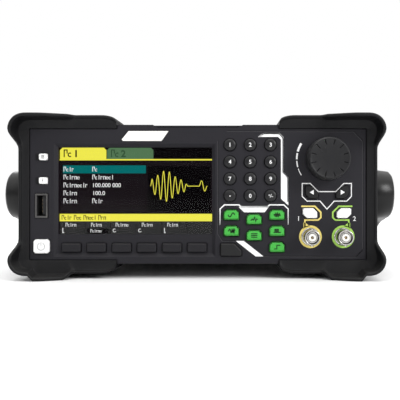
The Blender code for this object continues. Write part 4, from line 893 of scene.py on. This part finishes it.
knobProfile = [(3.3, -9.6), (3.3, -0.8), (13.3, -0.8), (13.6, -1.1), (13.6, -3.2), (13.5, -3.6),
               (13.45, -6.0), (13.35, -8.4), (13.15, -11.2), (12.9, -12.2), (12.5, -12.9), (12.1, -13.1),
               (11.85, -13.05), (11.75, -12.95), (11.6, -12.9), (10.8, -12.75), (10.0, -12.62),
               (9.3, -12.52), (8.8, -12.46), (8.6, -12.44), (6.0, -12.2), (3.0, -12.1), (0, -12.08)]
knobCentre = at(knobX, 0, knobZ)
bm = turned(knobProfile, knobCentre, "Y", knobLook["steps"], grooved)
holes = [edge for edge in bm.edges if edge.is_boundary]
bmesh.ops.holes_fill(bm, edges=holes)
addPiece("knobCap", bm, "knobPlastic", "knob", ["knob"], sharp=50)
dimpleSize = knobLook["dimpleSize"]
dimple = [(0, -12.35), (dimpleSize - 0.5, -12.35), (dimpleSize - 0.15, -12.45), (dimpleSize, -12.3),
          (dimpleSize + 0.05, -12.0)]
addPiece("knobFinger", turned(dimple, at(knobX - 4.2, 0, knobZ + 5.4), "Y", 36), "knobPlastic", "knob",
         sharp=50)
print("knob made")

# coaxial connectors: shell with its ears, insulator, pin, sleeve and collar
bncLook = {"insulatorR": 2.5, "pinR": 0.68, "sleeveR": 3.3, "sleeveWall": 0.45}


def makeBnc(name, node, outward):
    refine(name + "_shell", node, "connectorNickel", 0.16, 2, 30)
    low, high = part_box(node)
    mid = (low + high) / 2
    mouth = low.y if outward < 0 else high.y
    centre = Vector((mid.x, mouth, mid.z))
    deep = -outward

    def along(profile):
        return [(radius, deep * distance) for radius, distance in profile]

    r = bncLook["insulatorR"]
    insulator = along([(0, 3.4), (1.0, 3.4), (1.0, 1.2), (r - 0.2, 1.2), (r, 1.45), (r, 8.8), (0, 8.8)])
    addPiece(name + "_insulator", turned(insulator, centre, "Y", 36), "insulatorWhite", "root")
    r = bncLook["pinR"]
    pin = along([(0, 2.0), (r * 0.5, 2.0), (r, 2.5), (r, 3.3), (0, 3.3)])
    addPiece(name + "_pin", turned(pin, centre, "Y", 24), "contactGold", "root")
    r, wall = bncLook["sleeveR"], bncLook["sleeveWall"]
    sleeve = along([(r - wall, 8.9), (r - wall, 1.9), (r, 1.9), (r, 8.9)])
    addPiece(name + "_sleeve", turned(sleeve, centre, "Y", 36), "connectorNickel", "root")
    face = panelFace if outward < 0 else rearFace
    flat = Vector((mid.x, face, mid.z))
    collar = [(4.95, -3.0), (5.6, -3.0), (5.6, 0.25), (5.3, 0.5), (4.95, 0.5), (4.95, -3.0)]
    bm = turned([(radius, outward * distance) for radius, distance in collar], flat, "Y", 48)
    addPiece(name + "_collar", bm, "connectorNickel", "root", sharp=30)


makeBnc("output1", "bnc_output_1", -1)
makeBnc("output2", "bnc_output_2", -1)
makeBnc("rearCoax", "bnc_rear", 1)

# sockets: rims with tongue and contacts
refine("usbHost_rim", "usb_host_port", "portSteel", 0.25)
x, z, face = middleOf("usb_host_port")
tongue = box((x + 0.6, face + 1.4, z - 5.6), (x + 2.4, face + 10.9, z + 5.6))
addPiece("usbHost_tongue", tongue, "blackPlastic", "root")
mouth = [(x + across * 2.75, z + up * 6.4) for across, up in ((-1, -1), (1, -1), (1, 1), (-1, 1))]
# black lining just inside the steel shell: painted shade of the port's inside
addPiece("usbHost_shadeLining", ribbon(mouth, 0.2, face + 0.5, 10.3, closed=True), "blackPlastic", "root")
for i in range(4):
    height = z + (i - 1.5) * 2.4
    contact = box((x + 0.35, face + 1.9, height - 0.5), (x + 0.6, face + 9.5, height + 0.5))
    addPiece(f"usbHost_contact{i}", contact, "contactGold", "root")
refine("usbDevice_rim", "usb_device_port", "plainSteel", 0.25)
deviceX, deviceZ, _ = middleOf("usb_device_port")
deviceFace = backOf("usb_device_port")
tongue = box((deviceX - 2.6, deviceFace - 8.9, deviceZ - 1.6),
             (deviceX + 2.6, deviceFace - 1.2, deviceZ + 1.6))
addPiece("usbDevice_tongue", tongue, "whiteKeyPlastic", "root")
for i in range(4):
    side, level = (i % 2) * 2 - 1, (i // 2) * 2 - 1
    across, up = deviceX + side * 1.2, deviceZ + level * 1.7
    contact = box((across - 0.5, deviceFace - 8.0, up - 0.14), (across + 0.5, deviceFace - 1.6, up + 0.14))
    addPiece(f"usbDevice_contact{i}", contact, "contactGold", "root")
refine("inletHousing", "mains_inlet", "blackPlastic", 0.4)
inletX, inletZ, _ = middleOf("mains_inlet")
inletFace = backOf("mains_inlet")
for i, (across, up) in enumerate(((-7.0, -1.8), (0.0, 2.2), (7.0, -1.8))):
    blade = box((inletX + across - 1.0, inletFace - 16.9, inletZ + up - 2.0),
                (inletX + across + 1.0, inletFace - 4.0, inletZ + up + 2.0))
    roundEdges(addPiece(f"inletBlade{i}", blade, "connectorNickel", "root"), 0.4, 3)
print("connectors made")

# carry handle: arms, hub caps and a ribbed grip
handleLook = {"capR": 9.5, "capRise": 0.9, "ribs": 26, "ribDepth": 0.35, "ribShare": 0.78, "gripCorner": 2.6}
for side, way in (("left", -1), ("right", 1)):
    node = f"handle_arm_{side}"
    addPiece(f"handleArm_{side}", cleanCopy(node, False), "handlePlastic", "handle", [node],
             sharp=30)
    low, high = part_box(node)
    hubFace = low.x if way < 0 else high.x
    hub = Vector((hubFace, low.y + high.z - panelMiddle, panelMiddle))
    r, rise = handleLook["capR"], handleLook["capRise"] * way
    cap = [(r, -0.3 * way), (r, rise * 0.6), (r - 0.5, rise), (r - 1.6, rise), (r - 2.0, rise * 0.4),
           (r - 2.8, rise * 0.4), (r - 3.2, rise), (0, rise)]
    disc = turned(cap, hub, "X", 64)
    addPiece(f"hubCap_{side}", disc, "handlePlastic", "handle", sharp=30)
gripLow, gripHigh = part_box("handle_grip")
gripMid = (gripLow + gripHigh) / 2
gripHalf = (gripHigh - gripLow) / 2
gripRings = []
reach = gripHalf.x
ribZone = reach * handleLook["ribShare"]
ends = {-reach, -reach + 0.8 * mm, -ribZone, ribZone, reach - 0.8 * mm, reach}
cuts = handleLook["ribs"] * 6
stops = sorted(ends | {ribZone * (-1 + 2 * i / cuts) for i in range(cuts + 1)})
for x in stops:
    inRibs = abs(x) < ribZone
    wave = 0.5 - 0.5 * math.cos(math.pi * (x / ribZone + 1) * handleLook["ribs"])
    shrink = handleLook["ribDepth"] * mm * (wave if inRibs else 0)
    shrink += 0.5 * mm if abs(x) > reach - 0.4 * mm else 0
    halfY, halfZ, corner = gripHalf.y - shrink, gripHalf.z - shrink, handleLook["gripCorner"] * mm
    row = []
    for quarter, (signY, signZ) in enumerate(((1, 1), (-1, 1), (-1, -1), (1, -1))):
        for step in range(6):
            angle = math.radians(90 * quarter + 18 * step)
            row.append(Vector((x, gripMid.y + signY * (halfY - corner) + corner * math.cos(angle),
                               gripMid.z + signZ * (halfZ - corner) + corner * math.sin(angle))))
    gripRings.append(row)
addPiece("gripBar", loft(gripRings), "gripRubber", "handle", ["handle_grip"], sharp=50)
print("handle made")

# screen: clear window, lit picture behind it
screenLook = {"depth": 5.38, "step": 0.03}
refine("screenWindow", "lcd_window", "windowGlass", 0.2)
refine("screenModule", "lcd_module", "displayBack", 0.3)


def lit(name, outline, material, layer=0):
    # each layer lies a little in front of the one before
    depth = screenLook["depth"] - layer * screenLook["step"]
    addPiece(name, plate(outline, depth, screenLook["step"] * 0.7), material, "root")


def litLine(name, points, width, material, layer=2):
    depth = screenLook["depth"] - layer * screenLook["step"]
    addPiece(name, ribbon(points, width, depth, screenLook["step"] * 0.7), material, "root")


def rectangle(left, bottom, right, top, cut=0.0):
    if not cut:
        return [(left, bottom), (right, bottom), (right, top), (left, top)]
    return [(left, bottom), (right, bottom), (right, top - cut), (right - cut, top), (left + cut, top),
            (left, top - cut)]


def wordMarks(name, left, middle, lengths, height, material, layer=2):
    # a line of plain strokes where a word would stand: one tall mark, then small rings, hooks and bars
    bm = bmesh.new()
    depth = screenLook["depth"] - layer * screenLook["step"]
    stroke = height * 0.15
    bottom = middle - height / 2
    small = height * 0.66
    x = left
    for i, length in enumerate(lengths):
        for j in range(length):
            kind = (i * 3 + j * 2) % 5 if j else 5
            right = x + height * 0.4
            middleX = (x + right) / 2
            marks = {
                0: arc((middleX, bottom + small / 2), small * 0.38, 0, 330, 9),
                1: [(x, bottom), (x, bottom + small), (right, bottom + small * 0.9)],
                2: arc((middleX, bottom + small / 2), small * 0.38, 50, 310, 8),
                3: [(x, bottom), (x, bottom + small), (right, bottom + small), (right, bottom)],
                4: [(middleX, bottom), (middleX, bottom + height)],
                5: [(x, bottom), (x, bottom + height), (right, bottom + height),
                    (right, bottom + height * 0.5)],
            }
            joinInto(bm, ribbon(marks[kind], stroke, depth, screenLook["step"] * 0.7))
            x += height * 0.6
        x += height * 0.4
    addPiece(name, bm, material, "root")


def figures(name, text, left, middle, height, material, layer=2, weight=0.012):
    # generic numbers on the display, placed by their left edge
    width = len(text) * height * 0.62
    depth = screenLook["depth"] - layer * screenLook["step"]
    textPiece(name, text, (left + width / 2, middle), height, material, "root", depth,
              screenLook["step"] * 0.7, weight)


lit("displayGround", rectangle(-89.6, -26.0, 9.4, 30.5), "litGround")
lit("displayTabA", rectangle(-88.9, 22.2, -59.1, 30.0, 1.6), "litYellow", 1)
lit("displayTabB", rectangle(-58.7, 22.7, -28.9, 29.9, 1.6), "litGreenGrey", 1)
lit("displayRule", rectangle(-89.1, 21.8, 8.9, 22.7), "litYellow", 1)
lit("displayTopRow", rectangle(-28.6, 22.8, 8.9, 30.2), "litBlack", 1)
wordMarks("displayTabWordA", -86.2, 26.2, (2,), 4.6, "litDarkText")
figures("displayTabNumberA", "1", -80.0, 26.2, 4.6, "litDarkText", 2, 0.03)
wordMarks("displayTabWordB", -55.8, 26.2, (2,), 4.6, "litTabText")
figures("displayTabNumberB", "2", -49.6, 26.2, 4.6, "litTabText", 2, 0.03)
lit("displayRowMark", rectangle(-87.0, 13.5, -33.7, 18.6), "litTeal", 1)
rows = ((16.1, (4,), "litWhite", (2,)), (11.0, (6,), "litWhite", (8,)), (5.9, (9,), "litWhite", None),
        (0.8, (5,), "litWhite", None), (-4.3, (5,), "litWhite", (4,)))
numbers = {2: "100.000 000", 3: "100.0"}
for i, (height, label, material, value) in enumerate(rows):
    wordMarks(f"displayLabel{i}", -86.4, height, label, 2.9, material)
    if i in numbers:
        figures(f"displayValue{i}", numbers[i], -67.9, height, 2.7, material)
    else:
        wordMarks(f"displayValue{i}", -67.9, height, value, 2.9, material)
lit("displayGraph", rectangle(-32.4, -10.9, 7.9, 18.3), "litBlack", 1)
waveLook = {"middle": 5.3, "height": 9.8, "tail": 4.0, "period": 3.75, "start": -30.8, "peak": -21.0,
            "rest": -7.0, "stop": 5.7, "steps": 240}


def carrier(x):
    if x > waveLook["rest"]:
        near = max(0.0, 1 - ((x - 3.0) / 2.8) ** 2)
        return waveLook["middle"] + waveLook["tail"] * near * math.sin((x - 0.6) * 2 * math.pi / 5.0)
    swell = 0.35 + 0.65 * math.exp(-((x - waveLook["peak"]) / 6.5) ** 2)
    fade = min((x - waveLook["start"]) / 1.0, (waveLook["rest"] - x) / 1.6, 1.0)
    turn = 2 * math.pi * (x - waveLook["start"]) / waveLook["period"]
    return waveLook["middle"] + waveLook["height"] * swell * fade * math.sin(turn)


span = waveLook["stop"] - waveLook["start"]
places = [waveLook["start"] + span * i / waveLook["steps"] for i in range(waveLook["steps"] + 1)]
litLine("displayWave", [(x, carrier(x)) for x in places], 0.42, "litYellow", 3)
lit("displayMenuRule", rectangle(-89.1, -17.3, 8.9, -12.5), "litYellow", 1)
wordMarks("displayMenuTitle", -87.6, -14.9, (4, 3, 5, 3), 2.8, "litDarkText")
cellWidth = (8.9 + 89.1) / 6
for i in range(6):
    left = -89.1 + cellWidth * i
    lit(f"displayCell{i}", rectangle(left + 0.25, -25.5, left + cellWidth - 0.25, -17.6), "litBar", 1)
    if i == 5:
        continue
    wordMarks(f"displayCellWord{i}", left + 4.0 - 0.5 * (i == 2), -19.6, (5 + (i == 2),), 2.3, "litWhite")
    if i == 1:
        lit("displayCellBox", rectangle(left + 1.2, -25.2, left + cellWidth - 1.2, -21.9), "litBlack", 2)
        wordMarks("displayCellChoice", left + 3.6, -23.5, (6,), 2.0, "litWhite", 3)
    elif i in (2, 3):
        litLine(f"displayTurn{i}", arc((left + 2.6, -23.2), 1.0, 60, 330, 10), 0.4, "litWhite")
    else:
        hook = [(left + 2.0, -21.6), (left + 2.0, -24.6), (left + 2.9, -24.6)]
        litLine(f"displayMore{i}", hook, 0.5, "litWhite")
print("screen made")

# two-shell case, rear panel, fan and screws
caseLook = {"edge": 0.6, "ventCount": 11, "ventPitch": 5.4, "ventWidth": 2.4, "ventLow": -8.0,
            "ventHigh": 16.0, "ventStart": 120.0, "fanX": -62.0, "fanScrew": 25.0, "inletScrew": 20.0}
refine("coverShell", "top_cover", "coverPaint", caseLook["edge"], 3)
chassis = addPiece("chassisShell", cleanCopy("bottom_chassis", False), "coverPaint", "root",
                   ["bottom_chassis"], sharp=0)
vents = bmesh.new()
for side in (-1, 1):
    for i in range(caseLook["ventCount"]):
        start = caseLook["ventStart"] + i * caseLook["ventPitch"]
        joinInto(vents, box((side * 107.0, start, caseLook["ventLow"]),
                            (side * 112.0, start + caseLook["ventWidth"], caseLook["ventHigh"])))
cutAway(chassis, vents)
addPiece("rearPlate", cleanCopy("rear_panel", False), "rearPaint", "root", ["rear_panel"],
         sharp=0)
addPiece("fanHousing", cleanCopy("fan_frame", False), "blackPlastic", "root", ["fan_frame"])
refine("fanWheel", "fan_rotor", "blackPlastic", 0.15)


def makeScrew(name, centre, axis, way, radius=2.9):
    # pan head with a cross recess; way is the side the head faces
    head = [(radius, 0.0), (radius, 0.7 * way), (radius - 0.35, 1.15 * way), (radius * 0.55, 1.4 * way),
            (0, 1.45 * way)]
    piece = addPiece(name, turned([(0, 0.0)] + head, centre, axis, 32), "screwSteel", "root")
    size = radius * 0.62 * mm
    for wide in (0, 1):
        arm = bmesh.new()
        bmesh.ops.create_cube(arm, size=1.0)
        flat = {"Y": (0, 2), "X": (1, 2), "Z": (0, 1)}[axis]
        lengths = [1.6 * mm] * 3
        lengths[flat[wide]] = size * 2
        lengths[flat[1 - wide]] = 0.5 * mm
        shift = Vector((0, 0, 0))
        shift["XYZ".index(axis)] = way * 1.4 * mm
        for vert in arm.verts:
            vert.co = centre + shift + Vector(vert.co[i] * lengths[i] for i in range(3))
        bmesh.ops.recalc_face_normals(arm, faces=arm.faces)
        cutAway(piece, arm)
    piece.data.set_sharp_from_angle(angle=math.radians(35))


rearDepth = (rearFace - panelFace) / mm
for i, (x, z) in enumerate(((-44, 40), (44, 40), (-44, -39), (44, -39), (-98, 36), (98, 36))):
    makeScrew(f"rearScrew{i}", at(x, rearDepth, z), "Y", 1)
for i, (signX, signZ) in enumerate(((-1, -1), (-1, 1), (1, -1), (1, 1))):
    spread = caseLook["fanScrew"]
    makeScrew(f"fanScrew{i}", at(caseLook["fanX"] + signX * spread, rearDepth, signZ * spread), "Y", 1, 2.4)
for i, way in enumerate((-1, 1)):
    makeScrew(f"inletScrew{i}", at(inletX + way * caseLook["inletScrew"], rearDepth, inletZ), "Y", 1, 2.4)
for i, (x, depth) in enumerate(((-60, 60), (60, 60), (-60, 200), (60, 200))):
    makeScrew(f"baseScrew{i}", at(x, depth, -44.2), "Z", -1)
print("case made")

# inner pieces keep their shape and get real finishes
innerFinish = {"key_board": "circuitGreen", "main_board": "circuitGreen", "power_supply": "plainSteel",
               "encoder_body": "blackPlastic", "encoder_shaft": "plainSteel"}
for node, material in innerFinish.items():
    data = frame["nodes"][node]
    for slot in data.material_slots:
        slot.material = finish[material]

# floor, light and camera
stageLook = {"floorSize": 30.0, "backdrop": 1.0, "room": 0.36, "overhead": 1.2,
             "cameraX": 0.01905, "cameraDistance": 0.390, "cameraZ": 0.0518, "lens": 55.35,
             "shiftX": -0.07, "shiftY": -0.0075}
material, tree, shader = newMaterial("paleFloor")
cloud = useGroup(tree, mouldedGrain, Color=(0.93, 0.93, 0.93), Color_Drift=0.01, Roughness=0.7,
                 Gloss_Drift=0.05, Grain_Scale=60.0)
tree.links.new(cloud.outputs["Color"], shader.inputs["Base Color"])
tree.links.new(cloud.outputs["Roughness"], shader.inputs["Roughness"])
shader.inputs["Specular IOR Level"].default_value = 0.1
floorMesh = bpy.data.meshes.new("floor")
half = stageLook["floorSize"] / 2
corners = [(-half, -half, 0), (half, -half, 0), (half, half, 0), (-half, half, 0)]
floorMesh.from_pydata(corners, [], [(0, 1, 2, 3)])
floorMesh.materials.append(material)
floor = bpy.data.objects.new("floor", floorMesh)
scene.collection.objects.link(floor)

world = bpy.data.worlds.new("studio")
scene.world = world
world.use_nodes = True
tree = world.node_tree
background = tree.nodes["Background"]
direction = addNode(tree, "ShaderNodeSeparateXYZ")
tree.links.new(addNode(tree, "ShaderNodeTexCoord").outputs["Generated"], direction.inputs[0])
rise = maths(tree, "MULTIPLY", maths(tree, "MAXIMUM", direction.outputs["Z"], 0.0), stageLook["overhead"])
upward = maths(tree, "ADD", rise, stageLook["room"])
seen = addNode(tree, "ShaderNodeLightPath").outputs["Is Camera Ray"]
lightLevel = maths(tree, "MULTIPLY", upward, maths(tree, "SUBTRACT", 1.0, seen))
tree.links.new(maths(tree, "ADD", lightLevel, maths(tree, "MULTIPLY", seen, stageLook["backdrop"])),
               background.inputs["Strength"])
background.inputs["Color"].default_value = (1, 1, 1, 1)


def softLight(name, place, aim, size, watts, color=(1, 1, 1)):
    lamp = bpy.data.lights.new(name, "AREA")
    lamp.shape = "SQUARE"
    lamp.size = size
    lamp.energy = watts
    lamp.color = color
    obj = bpy.data.objects.new(name, lamp)
    scene.collection.objects.link(obj)
    obj.location = place
    obj.rotation_euler = (Vector(aim) - Vector(place)).to_track_quat("-Z", "Y").to_euler()
    obj.visible_camera = False


softLight("keyLight", (1.25, -1.0, 0.75), (0, 0, 0.05), 0.6, 15.0)
softLight("fillLight", (-1.3, -0.6, 0.9), (0, 0, 0.05), 0.9, 1.2)
softLight("topLight", (0.0, 0.1, 1.5), (0, 0, 0), 1.4, 7.0)
softLight("backLight", (-0.6, 1.4, 0.9), (0, 0, 0.05), 0.8, 6.0)

camera = bpy.data.objects.new("camera", bpy.data.cameras.new("camera"))
scene.collection.objects.link(camera)
scene.camera = camera
camera.data.lens = stageLook["lens"]
camera.data.sensor_width = 36.0
camera.data.shift_x = stageLook["shiftX"]
camera.data.shift_y = stageLook["shiftY"]
camera.data.clip_start = 0.01
camera.location = (stageLook["cameraX"], panelFace - stageLook["cameraDistance"], stageLook["cameraZ"])
camera.rotation_euler = (math.radians(90), 0, 0)
scene.view_settings.view_transform = "Standard"
print("stage set")
